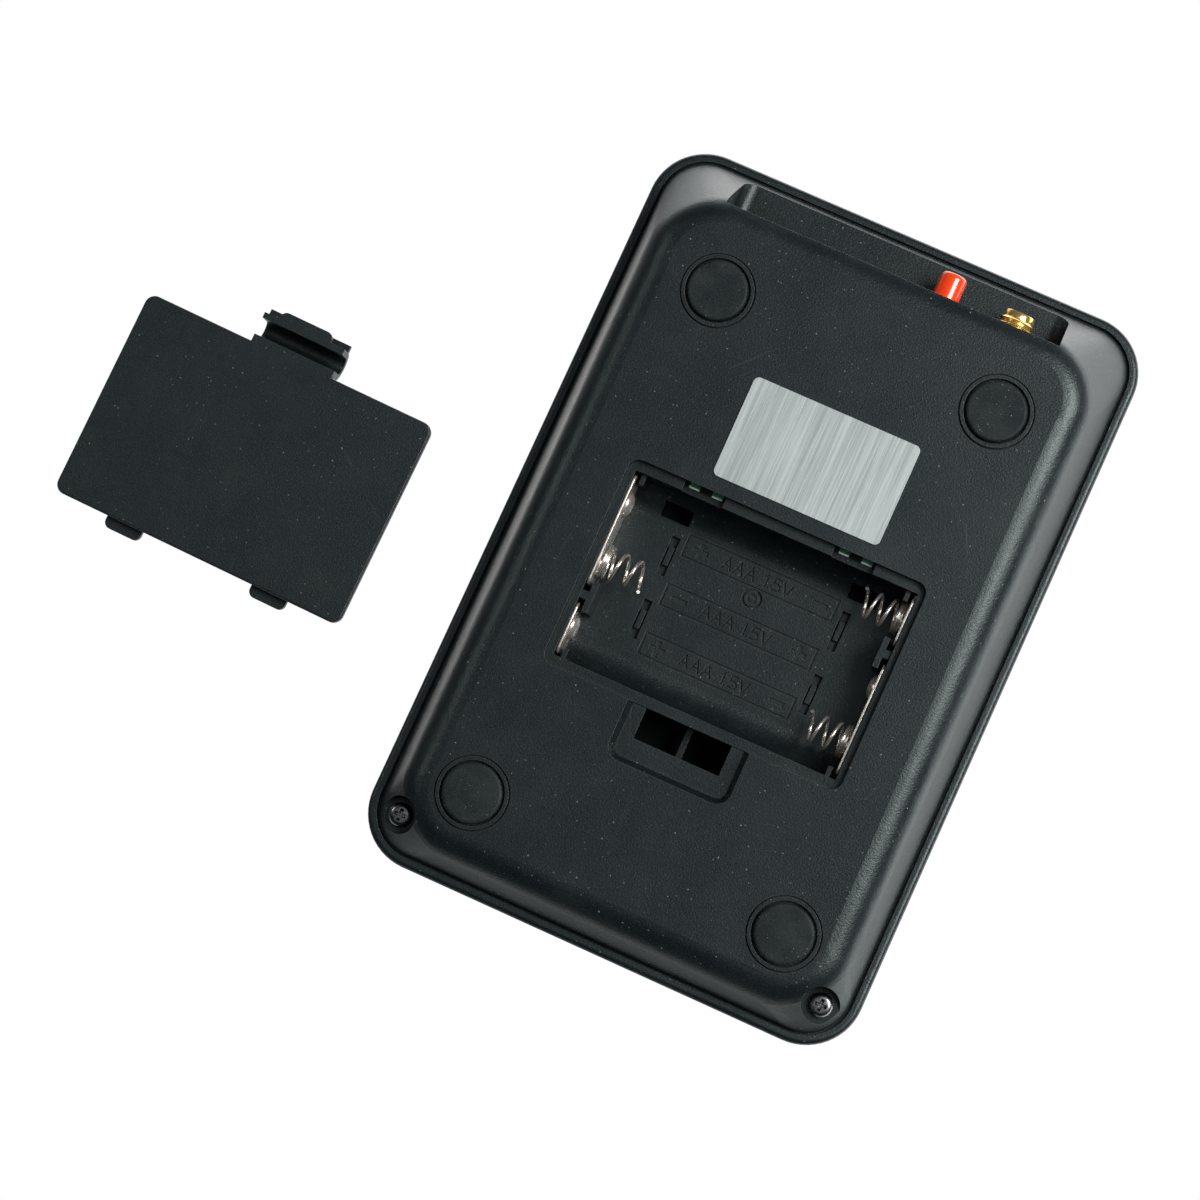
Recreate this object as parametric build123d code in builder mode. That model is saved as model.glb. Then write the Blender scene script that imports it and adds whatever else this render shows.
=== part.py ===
"""Keypad transmitter of a guest pager system, standing on its feet, with its battery door beside it.

Millimetres. The origin is on the table under the middle of the housing. +X is to the user's
right, +Y points to the connectors and +Z up through the keys. The two shells meet in a parting
plane that rises towards the connectors, so what follows the keys is drawn on planes parallel to
it, and what follows the underside is drawn on level planes.
"""
from build123d import *
from math import cos, radians, sin
import os

os.makedirs("parts", exist_ok=True)

# ------------------------------------------------------------------ housing
body_width = 89.6
body_length = 133.6
corner_radius = 10.0
wedge_angle = 4.2        # slope of the key face and of the parting plane
parting_height = 13.8    # parting plane above the table, at the middle
front_depth = 10.0       # parting plane to key face
underside_z = 1.0        # level face of the rear shell
rim_band = 1.6           # lower edge of the front shell, seen from below
parting_gap = 0.4        # groove between the two shells
lip_height = 1.0         # rear shell's lip, inside the front shell
wall = 2.0
front_wall = 2.8
face_thickness = 2.0
draft = 2.0
face_round = 2.6
rim_round = 0.9

shoulder_width = 78.0    # rear shell at the underside, before its edge is rounded
shoulder_length = 118.0
shoulder_shift = -2.0
shoulder_corner = 13.0
shoulder_round = 5.5

# ------------------------------------------------------------------ battery bay
bay_centre_y = -7.1
ledge_size = (53.8, 37.2)
ledge_corner = 2.0
ledge_z = 2.7
ledge_skin = 1.5
bay_size = (51.2, 33.6)
bay_floor_z = 13.4
bay_side_wall = 1.5
bay_board_wall = 1.0     # wall next to the main board
bay_round = 5.0
latch_rim = 2.0          # thicker skin round the ledge and the latch pocket
cell_pitch = 11.2
cell_axis_z = 7.9
plate_x = 25.1           # inner face of the contact plates
plate_gauge = 0.4
plate_z = (3.1, 12.9)
plate_chamfer = 2.5
bump_radius = 2.3
bump_height = 1.1
keeper_thickness = 0.8   # ribs that hold the plates at the bay's ends
keeper_reach = 1.8
keeper_z = 4.0
divider_x = 23.4         # face of the tee between two plates
divider_flange = (1.0, 5.4)
divider_web = 1.4
divider_z = 3.4
window_centre = (17.2, 6.55)
window_opening = (5.3, 2.7)
vent_x = 15.7            # vent slots, each with a bar across its middle
vent_rows = (-0.6, -12.2)
vent_size = (1.5, 7.0)
vent_bar = (0.9, 3.3)
gate_place = (-0.1, -1.5)  # sink mark of the moulding gate
gate_radius = 1.75
spring_wire = 0.6
spring_radius = 2.6
spring_pitch = 2.4
spring_length = 7.2
spring_taper = -4
spring_offset = 1.0      # springs sit off the cells' axes
mark_depth = 0.25
mark_frame = (27.9, 4.2)
mark_line = 0.4
mark_pitch = 9.0
mark_first_y = 2.25
sign_x = 11.0
sign_size = (2.8, 0.8)
letter_height = 2.1
letter_spread = 1.12
letter_stroke = 0.3

# ------------------------------------------------------------------ battery door
door_centre = (86.3, -15.2)
door_turn = 1.5          # beyond half a turn from its fitted place
door_gap = 0.2           # all round the door in its ledge
door_thickness = 1.6
tongue_spacing = 27.2
tongue_width = 6.6
tongue_reach = 1.9
tongue_corner = 1.2
tongue_z = (2.1, 3.3)    # above the door's outer face
slot_width = 7.4
slot_height = 1.8
latch_width = 15.0
latch_depth = 5.0        # across its bend
latch_height = 7.0
latch_sheet = 1.0
catch_z = (3.75, 4.75)
catch_reach = 1.2
tab_width = 9.6
tab_reach = 1.5
tab_thickness = 1.1
tab_corner = 1.2
rib_length = 40.0
rib_thickness = 0.8
rib_top = 2.8
pocket_size = (22.0, 10.0)
pocket_corner = 3.0
pocket_slope = 25.0
pocket_z = 3.0
pocket_skin = 1.6
fin_thickness = 1.0       # fin behind the latch hole
fin_low_z = 9.0
hole_size = (15.5, 5.5)

# ------------------------------------------------------------------ underside
foot_places = [(-28.2, -50.4), (28.2, -50.4), (-25.2, 42.4), (25.2, 42.4)]
foot_radius = 5.2
foot_clearance = 0.3
foot_pocket_z = 1.8
foot_ring_radius = 6.1
foot_ring_height = 0.4
foot_groove = 0.25
screw_places = [(-38.35, -58.7), (38.35, -58.7)]
counterbore_radius = 3.2
screw_seat_z = 8.0
screw_radius = 1.35
screw_head = (2.0, 1.6)
screw_top_z = 16.5
name_plate_centre = (-1.4, 23.0)
name_plate_size = (30.0, 17.9)
name_plate_gauge = 0.3

# ------------------------------------------------------------------ connectors and main board
recess_wall_y = 56.9
recess_half_width = 29.9  # at its floor
recess_flare = 0.4
recess_depth = 2.2        # floor below the parting plane
recess_corner = 2.4
recess_reach = 15.0
lead_x = 28.0             # supply wire beside the bay
lead_z = 9.0
lead_radius = 0.6
board_thickness = 1.2
main_board_z = 5.0
main_board_size = (62.0, 43.0)
main_board_low_y = 10.9
post_radius = 2.2
small_screw_radius = 1.0
small_head = (1.9, 1.3)
fitting_z = 10.0          # axis of the power button and of both jacks
button_x = -9.4
button_radius = 2.3
button_travel = 2.0
button_tip_y = 62.0
switch_size = (7.2, 8.5, 7.0)
switch_front_y = 51.0
antenna_x = -22.0
antenna_radius = 3.1
antenna_neck_radius = 2.7
antenna_tip_y = 60.2
antenna_pin = 3.6
antenna_block = (7.5, 7.5, 7.6)
antenna_block_front_y = 52.5
insulator_radius = 2.3
socket_radius = 0.62
power_jack_x = 12.0
power_jack_size = (9.0, 12.6, 7.6)
power_jack_front_y = 53.6
plug_radius = 2.85
plug_depth = 9.5
power_pin_radius = 1.0
buzzer_place = (14.0, 24.0)
buzzer_size = (6.0, 5.5)  # radius and height
shield_x = (-22.0, -6.0)
shield_y = (21.0, 35.0)
shield_height = 3.0
link_size = (20.0, 2.6)   # plug between the two boards
link_y = 16.0

# ------------------------------------------------------------------ keys and display
key_size = (14.0, 10.0)
key_corner = 1.5
key_pitch = (18.5, 15.5)
key_block_y = -26.0
key_gap = 0.3
key_rise = 1.4
key_travel = 1.0
key_bottom = 6.9          # above the parting plane
flange_size = (15.2, 11.2)
flange_thickness = 1.0
lens_size = (68.0, 32.0)
lens_y = 35.0
lens_thickness = 1.2
window_size = (60.0, 24.0)
display_size = (64.0, 27.0)
keypad_board_level = 3.6  # its underside above the parting plane
keypad_board_size = (82.4, 110.0)
keypad_board_y = -2.0
post_places = [(x, y) for x in (-38.9, 38.9) for y in (-42.0, 2.0, 46.0)]
pilot_depth = 2.6
mat_thickness = 0.6
led_place = (30.0, 10.0)
led_radius = 1.5
led_rise = 0.3
chip_place = (-20.0, 20.0)
chip_size = (9.0, 1.2)    # side and height

rim_inset = rim_band + parting_gap
face_inside = front_depth - face_thickness
board_top = keypad_board_level + board_thickness
cell_rows = [bay_centre_y + cell_pitch * n for n in (1, 0, -1)]
bay_low_y = bay_centre_y - bay_size[1] / 2
bay_high_y = bay_centre_y + bay_size[1] / 2
ledge_low_y = bay_centre_y - ledge_size[1] / 2
ledge_high_y = bay_centre_y + ledge_size[1] / 2
main_board_y = main_board_low_y + main_board_size[1] / 2
main_board_top = main_board_z + board_thickness
main_post_places = [(x, main_board_y + y) for x in (-28.5, 28.5) for y in (-15.5, 15.5)]
skin_z = underside_z + wall

slope = radians(wedge_angle)
parting = Plane(origin=(0, 0, parting_height), x_dir=(1, 0, 0), z_dir=(0, -sin(slope), cos(slope)))
recess_plane = Plane(origin=(0, recess_wall_y, 0), x_dir=(1, 0, 0), z_dir=parting.y_dir)
up_from_parting = Axis((0, 0, parting_height), parting.z_dir)
parting_on_recess = parting.to_local_coords(Vector(0, recess_wall_y, 0)).Z
standing = (Align.CENTER, Align.CENTER, Align.MIN)
along_y = (-90, 0, 0)
along_x = (0, 90, 0)


def level(z):
    """Level plane at height z."""
    return Plane.XY.offset(z)


def save(piece, name):
    """Label a finished piece and write it to its own file."""
    piece.part.label = name
    export_step(piece.part, f"parts/{name}.step")


def block(x_span, y_span, z_span, mode=Mode.ADD):
    """Box between two values on each axis of the builder's plane."""
    spans = (x_span, y_span, z_span)
    with Locations(tuple((low + high) / 2 for low, high in spans)):
        Box(*(high - low for low, high in spans), mode=mode)


def centred_block(place, size, z_span, mode=Mode.ADD):
    """Box round a point of the builder's plane, between two heights."""
    x_span, y_span = ((centre - length / 2, centre + length / 2) for centre, length in zip(place, size))
    block(x_span, y_span, z_span, mode)


def disc(places, radius, z_span, mode=Mode.ADD):
    """Upright cylinders at the given places, between two heights of the builder's plane."""
    with Locations(*((x, y, z_span[0]) for x, y in places)):
        Cylinder(radius, z_span[1] - z_span[0], align=standing, mode=mode)


def barrel(x, z, radius, y_span, mode=Mode.ADD):
    """Cylinder that lies along Y."""
    with Locations((x, y_span[0], z)):
        Cylinder(radius, y_span[1] - y_span[0], rotation=along_y, align=standing, mode=mode)


def shell_form(inset, z, trim, corner, rounding):
    """Solid between the parting plane and a level face at z, whose edge is rounded."""
    with BuildPart() as form:
        with BuildSketch(parting):
            RectangleRounded(body_width - 2 * inset, body_length - 2 * inset, corner_radius - inset)
        with BuildSketch(level(z)):
            with Locations((0, shoulder_shift)):
                RectangleRounded(shoulder_width - 2 * trim, shoulder_length - 2 * trim, corner)
        loft(ruled=True)
        fillet(form.faces().sort_by(Axis.Z)[0].edges(), radius=rounding)
    return form.part


def outline_slab(inset, low, high):
    """Slab of the housing's outline, less an inset, between two levels above the parting plane."""
    with BuildPart() as slab:
        with BuildSketch(parting.offset(low)):
            RectangleRounded(body_width - 2 * inset, body_length - 2 * inset, corner_radius - inset)
        extrude(amount=high - low)
    return slab.part


# ------------------------------------------------------------------ rear shell: its hollow
with BuildPart() as rear_hollow:
    add(shell_form(rim_inset + wall, skin_z, wall, shoulder_corner - wall, shoulder_round - 1.5))
    # casing of the battery bay, and the thick rim under its ledge
    block((-ledge_size[0] / 2 - latch_rim, ledge_size[0] / 2 + latch_rim),
          (ledge_low_y - latch_rim, ledge_high_y + latch_rim), (0, ledge_z + ledge_skin), mode=Mode.SUBTRACT)
    block((-bay_size[0] / 2 - bay_side_wall, bay_size[0] / 2 + bay_side_wall),
          (bay_low_y - bay_side_wall, bay_high_y + bay_board_wall),
          (0, bay_floor_z + bay_side_wall), mode=Mode.SUBTRACT)
    # floor of the latch pocket, and a fin behind the latch hole
    block((-pocket_size[0] / 2 - latch_rim, pocket_size[0] / 2 + latch_rim),
          (ledge_low_y - pocket_size[1] - latch_rim, ledge_low_y),
          (0, pocket_z + pocket_skin), mode=Mode.SUBTRACT)
    block((-fin_thickness / 2, fin_thickness / 2), (ledge_low_y - hole_size[1] - 1.5, ledge_low_y + 1),
          (fin_low_z, parting_height), mode=Mode.SUBTRACT)
    # screw columns, foot pads and the posts of the main board
    disc(screw_places, counterbore_radius + 1, (0, 2 * parting_height), mode=Mode.SUBTRACT)
    disc(foot_places, foot_radius + 1.6, (0, skin_z + 0.9), mode=Mode.SUBTRACT)
    disc(main_post_places, post_radius, (0, main_board_z), mode=Mode.SUBTRACT)
    # wall and floor round the connector recess
    with BuildSketch(recess_plane.offset(-wall)):
        with Locations((0, parting_on_recess)):
            Rectangle(2 * (recess_half_width + recess_flare + wall), 4 * parting_height)
    extrude(amount=recess_reach + wall, mode=Mode.SUBTRACT)

# ------------------------------------------------------------------ rear shell: what is cut out of it
with BuildPart() as lip:
    add(outline_slab(rim_inset, 0, lip_height))
    add(outline_slab(rim_inset + wall, 0, lip_height), mode=Mode.SUBTRACT)

with BuildPart() as bay_space:
    block((-bay_size[0] / 2, bay_size[0] / 2), (bay_low_y, bay_high_y), (ledge_z - 1, bay_floor_z))
    fillet(bay_space.edges().filter_by(Axis.X).group_by(Axis.Z)[-1], radius=bay_round)

with BuildPart() as pocket_space:
    # latch pocket with a sloping border
    with BuildSketch(level(0)):
        with Locations((0, ledge_low_y - pocket_size[1] / 2 + 2)):
            RectangleRounded(pocket_size[0] + 0.9, pocket_size[1] + 4.9, pocket_corner)
    extrude(amount=pocket_z, taper=pocket_slope)
    block((-pocket_size[0], pocket_size[0]), (ledge_low_y - 2 * pocket_size[1], ledge_low_y),
          (0, pocket_z), mode=Mode.INTERSECT)

with BuildPart() as recess_space:
    # cross-section of the connector recess: a flat floor under the rim, and drafted ends
    with BuildSketch(recess_plane):
        floor_line = parting_on_recess + recess_depth
        with BuildLine():
            Polyline((-recess_half_width, floor_line), (recess_half_width, floor_line),
                     (recess_half_width + recess_flare, underside_z),
                     (-recess_half_width - recess_flare, underside_z), close=True)
        make_face()
    extrude(amount=recess_reach)
    fillet(recess_space.edges().filter_by(Axis((0, 0, 0), parting.y_dir)).sort_by(Axis.Z)[-2:],
           radius=recess_corner)

# strokes of the letters in the bay's marks, in units of the letter height
letter_strokes = {
    "A": [[(0, 0), (0.35, 1), (0.7, 0)], [(0.13, 0.36), (0.57, 0.36)]],
    "1": [[(0.05, 0.75), (0.3, 1), (0.3, 0)]],
    ".": [[(0.1, 0), (0.1, 0.12)]],
    "5": [[(0.6, 1), (0.12, 1), (0.06, 0.55), (0.4, 0.62), (0.62, 0.4), (0.58, 0.1), (0.3, 0), (0.02, 0.1)]],
    "V": [[(0, 1), (0.35, 0), (0.7, 1)]],
}
letter_places = [("A", -2.9), ("A", -2.0), ("A", -1.1), ("1", 0.2), (".", 0.62), ("5", 0.95), ("V", 1.75)]


def bay_mark(y, plus_side):
    """Engraved frame, size and poles of one cell, read from below with the connectors at the top."""
    with BuildSketch(level(bay_floor_z)) as mark:
        with Locations((0, y)):
            Rectangle(*mark_frame)
            Rectangle(mark_frame[0] - 2 * mark_line, mark_frame[1] - 2 * mark_line, mode=Mode.SUBTRACT)
        for side in (-1, 1):
            with Locations((side * sign_x, y)):
                Rectangle(*sign_size)
                if side == plus_side:
                    Rectangle(*reversed(sign_size))
        for letter, start in letter_places:
            for stroke in letter_strokes[letter]:
                with BuildLine() as line:
                    Polyline(*((-(start + u) * letter_height * letter_spread, y + (v - 0.5) * letter_height)
                               for u, v in stroke))
                trace(line.line, line_width=letter_stroke)
    return mark.sketch


with BuildPart() as bay_marks:
    for row, plus_side in enumerate((1, -1, 1)):
        extrude(bay_mark(mark_first_y - row * mark_pitch, plus_side), amount=mark_depth)

# ------------------------------------------------------------------ rear shell
with BuildPart() as rear_shell:
    add(shell_form(rim_inset, underside_z, 0, shoulder_corner, shoulder_round))
    add(rear_hollow.part, mode=Mode.SUBTRACT)
    add(lip.part)
    block((-bay_size[0] / 2 - bay_side_wall, bay_size[0] / 2 + bay_side_wall),
          (bay_low_y - bay_side_wall, bay_high_y + bay_board_wall), (skin_z, bay_floor_z + bay_side_wall))
    # battery bay
    with BuildSketch(level(0)):
        with Locations((0, bay_centre_y)):
            RectangleRounded(*ledge_size, ledge_corner)
    extrude(amount=ledge_z, mode=Mode.SUBTRACT)
    add(bay_space.part, mode=Mode.SUBTRACT)
    add(bay_marks.part, mode=Mode.SUBTRACT)
    for side in (-1, 1):
        slot_span = (side * tongue_spacing / 2 - slot_width / 2, side * tongue_spacing / 2 + slot_width / 2)
        block(slot_span, (bay_high_y - 1, ledge_high_y), (ledge_z - 0.5, skin_z + slot_height),
              mode=Mode.SUBTRACT)
        block(slot_span, (bay_high_y - 1, ledge_high_y + tongue_reach), (skin_z, skin_z + slot_height),
              mode=Mode.SUBTRACT)
        # ribs that keep the contact plates at the bay's ends
        end_x = side * bay_size[0] / 2
        keeper_x = sorted((side * (plate_x - 1.5), side * (plate_x - 1.5 + keeper_thickness)))
        block(keeper_x, (bay_high_y - keeper_reach, bay_high_y), (keeper_z, bay_floor_z))
        block(keeper_x, (bay_low_y, bay_low_y + keeper_reach), (keeper_z, bay_floor_z))
        divider_y = bay_centre_y - side * cell_pitch / 2
        flange_middle = side * (divider_x + divider_flange[0] / 2)
        centred_block((flange_middle, divider_y), divider_flange, (divider_z, bay_floor_z))
        block(sorted((flange_middle, end_x)), (divider_y - divider_web / 2, divider_y + divider_web / 2),
              (divider_z, bay_floor_z))
        # windows and vent slots through the bay's floor
        centred_block((side * window_centre[0], window_centre[1]), window_opening,
                      (bay_floor_z - bay_round, bay_floor_z + bay_side_wall + 0.1), mode=Mode.SUBTRACT)
        for vent_y in vent_rows:
            centred_block((side * vent_x, vent_y), vent_size, (bay_floor_z - 0.1, bay_floor_z + 1.1),
                          mode=Mode.SUBTRACT)
            centred_block((side * vent_x, vent_y), vent_bar, (bay_floor_z + 0.1, bay_floor_z + 1.1))
    # sink mark: a ring with a nub in its middle
    disc([gate_place], gate_radius, (bay_floor_z - 0.1, bay_floor_z + 0.4), mode=Mode.SUBTRACT)
    disc([gate_place], gate_radius - 0.45, (bay_floor_z + 0.05, bay_floor_z + 0.4))
    disc([gate_place], gate_radius / 2, (bay_floor_z - 0.1, bay_floor_z + 0.3), mode=Mode.SUBTRACT)
    disc([gate_place], gate_radius / 4, (bay_floor_z + 0.05, bay_floor_z + 0.3))
    # latch pocket and the hole that takes the latch
    add(pocket_space.part, mode=Mode.SUBTRACT)
    block((-hole_size[0] / 2, hole_size[0] / 2), (ledge_low_y - hole_size[1], ledge_low_y),
          (0, pocket_z + pocket_skin + 1), mode=Mode.SUBTRACT)
    # foot rings and pockets
    disc(foot_places, foot_ring_radius + foot_groove, (underside_z, underside_z + 0.35), mode=Mode.SUBTRACT)
    disc(foot_places, foot_ring_radius, (underside_z - foot_ring_height, underside_z + 0.35))
    disc(foot_places, foot_radius + foot_clearance, (0, foot_pocket_z), mode=Mode.SUBTRACT)
    # housing screws
    disc(screw_places, counterbore_radius, (0, screw_seat_z), mode=Mode.SUBTRACT)
    disc(screw_places, screw_radius + 0.25, (0, 2 * parting_height), mode=Mode.SUBTRACT)
    disc(main_post_places, small_screw_radius, (underside_z + 1.2, main_board_z), mode=Mode.SUBTRACT)
    # connector recess and the holes in its wall
    add(recess_space.part, mode=Mode.SUBTRACT)
    barrel(button_x, fitting_z, button_radius + 0.3, (50, 60), mode=Mode.SUBTRACT)
    barrel(antenna_x, fitting_z, antenna_radius + 0.3, (50, 60), mode=Mode.SUBTRACT)
    barrel(power_jack_x, fitting_z, plug_radius + 0.6, (50, 60), mode=Mode.SUBTRACT)
    # slots for the tabs of the two end contacts
    block((-plate_x - plate_gauge - 0.1, -plate_x + 0.1),
          (bay_high_y - 0.1, bay_high_y + bay_board_wall + 0.1), (lead_z - 1.1, lead_z + 1.1),
          mode=Mode.SUBTRACT)
    block((bay_size[0] / 2 - 0.1, bay_size[0] / 2 + bay_side_wall + 0.1),
          (cell_rows[2] - 1.2, cell_rows[2] + 1.2), (lead_z - 0.1, lead_z + plate_gauge + 0.1),
          mode=Mode.SUBTRACT)
save(rear_shell, "rear_shell")

# ------------------------------------------------------------------ underside
for number, place in enumerate(foot_places, 1):
    with BuildPart() as foot:
        disc([place], foot_radius, (0, foot_pocket_z))
        chamfer(foot.faces().sort_by(Axis.Z)[0].edges(), length=0.3)
    save(foot, f"foot_{number}")

with BuildPart() as rating_plate:
    with BuildSketch(level(underside_z - name_plate_gauge)):
        with Locations(name_plate_centre):
            RectangleRounded(*name_plate_size, 1.0)
    extrude(amount=name_plate_gauge)
save(rating_plate, "rating_plate")

with BuildPart() as housing_screws:
    disc(screw_places, screw_head[0], (screw_seat_z - screw_head[1], screw_seat_z))
    chamfer(housing_screws.faces().group_by(Axis.Z)[0].edges(), length=0.35)
    disc(screw_places, screw_radius, (screw_seat_z, screw_top_z))
save(housing_screws, "housing_screws")

# ------------------------------------------------------------------ battery contacts


def contact_plate(side, y_span, bump_rows):
    """Flat plate at one end of the bay, with a dome where it meets the pole of a cell."""
    with BuildPart() as plate:
        block(sorted((side * plate_x, side * (plate_x + plate_gauge))), y_span, plate_z)
        top_edges = plate.edges().filter_by(Axis.X).group_by(Axis.Z)[-1].sort_by(Axis.Y)
        chamfer([edge for edge in top_edges if abs(edge.center().Y - bay_centre_y) > cell_pitch],
                length=plate_chamfer)
        for row in bump_rows:
            with Locations((side * plate_x, row, cell_axis_z)):
                Cone(bump_radius, bump_radius / 2, bump_height, rotation=(0, -side * 90, 0), align=standing)
    return plate.part


def battery_spring(side, row):
    """Coil that narrows towards the middle of the bay."""
    root_x = side * (plate_x - spring_wire / 2)
    with BuildPart() as spring:
        with BuildLine() as coil:
            Helix(spring_pitch, spring_length, spring_radius, center=(root_x, row, cell_axis_z),
                  direction=(-side, 0, 0), cone_angle=spring_taper)
        with BuildSketch(Plane(origin=coil.line @ 0, z_dir=coil.line % 0)):
            Circle(spring_wire / 2)
        sweep(is_frenet=True)
    return spring


with BuildPart() as contact_positive:
    add(contact_plate(1, (bay_low_y + 0.5, bay_centre_y - cell_pitch / 2 - 1.6), [cell_rows[2]]))
    block((plate_x, lead_x + 0.6), (cell_rows[2] - 1, cell_rows[2] + 1), (lead_z, lead_z + plate_gauge))
save(contact_positive, "contact_positive")

with BuildPart() as contact_negative:
    add(contact_plate(-1, (bay_centre_y + cell_pitch / 2 + 1.8, bay_high_y - 0.8), []))
    block((-plate_x - plate_gauge, -plate_x), (bay_high_y - 1, bay_high_y + 3), (lead_z - 1, lead_z + 1))
    block((-plate_x - plate_gauge, -plate_x), (bay_high_y + 2, bay_high_y + 3), (main_board_top, lead_z))
save(contact_negative, "contact_negative")

with BuildPart() as contact_link_rear:
    add(contact_plate(1, (bay_centre_y - cell_pitch / 2 + 1.8, bay_high_y - 0.7), [cell_rows[0]]))
save(contact_link_rear, "contact_link_rear")

with BuildPart() as contact_link_front:
    add(contact_plate(-1, (bay_low_y + 0.9, bay_centre_y + cell_pitch / 2 - 1.7), [cell_rows[1]]))
save(contact_link_front, "contact_link_front")

for number, (side, row) in enumerate(zip((-1, 1, -1), cell_rows), 1):
    save(battery_spring(side, row + spring_offset), f"battery_spring_{number}")

with BuildPart() as battery_lead:
    with BuildLine():
        lead_line = FilletPolyline(
            (lead_x, cell_rows[2], lead_z + plate_gauge + lead_radius),
            (lead_x, main_board_low_y + 3, lead_z + plate_gauge + lead_radius),
            (lead_x, main_board_low_y + 3, main_board_top), radius=1.6)
    with BuildSketch(Plane(origin=lead_line @ 0, z_dir=lead_line % 0)):
        Circle(lead_radius)
    sweep()
save(battery_lead, "battery_lead")

# ------------------------------------------------------------------ battery door, beside the housing
door_angle = radians(180 + door_turn)
door_place = Plane(origin=(*door_centre, 0), x_dir=(cos(door_angle), sin(door_angle), 0), z_dir=(0, 0, 1))
door_size = (ledge_size[0] - 2 * door_gap, ledge_size[1] - 2 * door_gap)
door_edge_y = door_size[1] / 2
latch_near_y = -door_edge_y - 0.3
latch_far_y = latch_near_y - latch_depth
with BuildPart(door_place) as battery_cover:
    with BuildSketch(door_place):
        RectangleRounded(*door_size, ledge_corner - door_gap)
    extrude(amount=door_thickness)
    fillet(battery_cover.faces().sort_by(Axis.Z)[0].edges(), radius=0.35)
    # latch, bent over like a hairpin, with its catch and finger tab
    block((-latch_width / 2, latch_width / 2), (latch_far_y, latch_near_y), (0, latch_height))
    bend = battery_cover.faces().sort_by(Axis.Z)[-1].edges().filter_by(Axis((0, 0, 0), door_place.x_dir))
    fillet(bend, radius=latch_depth / 2 - 0.01)
    with BuildSketch(door_place.offset(0)):
        with Locations((0, (latch_far_y + latch_near_y) / 2)):
            Rectangle(latch_width, latch_depth - 2 * latch_sheet)
    extrude(amount=latch_height - latch_depth / 2, mode=Mode.SUBTRACT)
    with Locations((0, (latch_far_y + latch_near_y) / 2, latch_height - latch_depth / 2)):
        Cylinder(latch_depth / 2 - latch_sheet, latch_width, rotation=along_x, mode=Mode.SUBTRACT)
    block((-latch_width / 2, latch_width / 2), (latch_near_y - 0.1, -door_edge_y + 0.5), (0, door_thickness))
    block((-latch_width / 2, latch_width / 2), (latch_far_y - catch_reach, latch_far_y + 0.1), catch_z)
    with BuildSketch(door_place):
        with Locations((0, latch_far_y + (latch_sheet - tab_reach) / 2)):
            RectangleRounded(tab_width, latch_sheet + tab_reach, tab_corner)
    extrude(amount=tab_thickness)
    # valley ribs and tongues
    for side in (-1, 1):
        centred_block((0, side * cell_pitch / 2), (rib_length, rib_thickness),
                      (door_thickness - 0.1, rib_top))
        tongue_x = side * tongue_spacing / 2
        centred_block((tongue_x, door_edge_y - 1.5), (tongue_width, 3), (door_thickness - 0.1, tongue_z[1]))
        with BuildSketch(door_place.offset(tongue_z[0])):
            with Locations((tongue_x, door_edge_y)):
                RectangleRounded(tongue_width, 2 * tongue_reach, tongue_corner)
        extrude(amount=tongue_z[1] - tongue_z[0])
save(battery_cover, "battery_cover")

# ------------------------------------------------------------------ main board and connectors
with BuildPart() as main_board:
    block((-main_board_size[0] / 2, main_board_size[0] / 2),
          (main_board_low_y, main_board_low_y + main_board_size[1]), (main_board_z, main_board_top))
    disc(main_post_places, small_screw_radius + 0.1, (0, main_board_top), mode=Mode.SUBTRACT)
save(main_board, "main_board")

with BuildPart() as main_board_screws:
    disc(main_post_places, small_head[0], (main_board_top, main_board_top + small_head[1]))
    disc(main_post_places, small_screw_radius, (main_board_z - 2.2, main_board_top))
save(main_board_screws, "main_board_screws")

with BuildPart() as power_switch:
    block((button_x - switch_size[0] / 2, button_x + switch_size[0] / 2),
          (switch_front_y - switch_size[1], switch_front_y), (main_board_top, fitting_z + 3.2))
    block((button_x - 1.8, button_x + 1.8), (switch_front_y - 6.5, switch_front_y),
          (fitting_z - 1.8, fitting_z + 1.8), mode=Mode.SUBTRACT)
save(power_switch, "power_switch")

with BuildPart() as power_button:
    barrel(button_x, fitting_z, button_radius, (button_tip_y - 8.5, button_tip_y))
    fillet(power_button.faces().sort_by(Axis.Y)[-1].edges(), radius=1.0)
    block((button_x - 1.5, button_x + 1.5), (switch_front_y - 4, button_tip_y - 8),
          (fitting_z - 1.5, fitting_z + 1.5))
save(power_button, "power_button")

with BuildPart() as antenna_jack:
    block((antenna_x - antenna_block[0] / 2, antenna_x + antenna_block[0] / 2),
          (antenna_block_front_y - antenna_block[1], antenna_block_front_y),
          (main_board_top, main_board_top + antenna_block[2]))
    barrel(antenna_x, fitting_z, antenna_neck_radius, (antenna_block_front_y, antenna_tip_y - antenna_pin))
    barrel(antenna_x, fitting_z, antenna_radius, (antenna_tip_y - antenna_pin, antenna_tip_y))
    barrel(antenna_x, fitting_z, insulator_radius, (antenna_block_front_y - 6.5, antenna_tip_y),
           mode=Mode.SUBTRACT)
save(antenna_jack, "antenna_jack")

with BuildPart() as antenna_insulator:
    barrel(antenna_x, fitting_z, insulator_radius, (antenna_block_front_y - 6.5, antenna_tip_y - 2.7))
    barrel(antenna_x, fitting_z, socket_radius, (antenna_block_front_y - 6, antenna_tip_y),
           mode=Mode.SUBTRACT)
save(antenna_insulator, "antenna_insulator")

with BuildPart() as antenna_contact:
    barrel(antenna_x, fitting_z, socket_radius, (antenna_block_front_y - 6, antenna_tip_y - 1.4))
    barrel(antenna_x, fitting_z, socket_radius / 2, (antenna_tip_y - 4, antenna_tip_y), mode=Mode.SUBTRACT)
save(antenna_contact, "antenna_contact")

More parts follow.
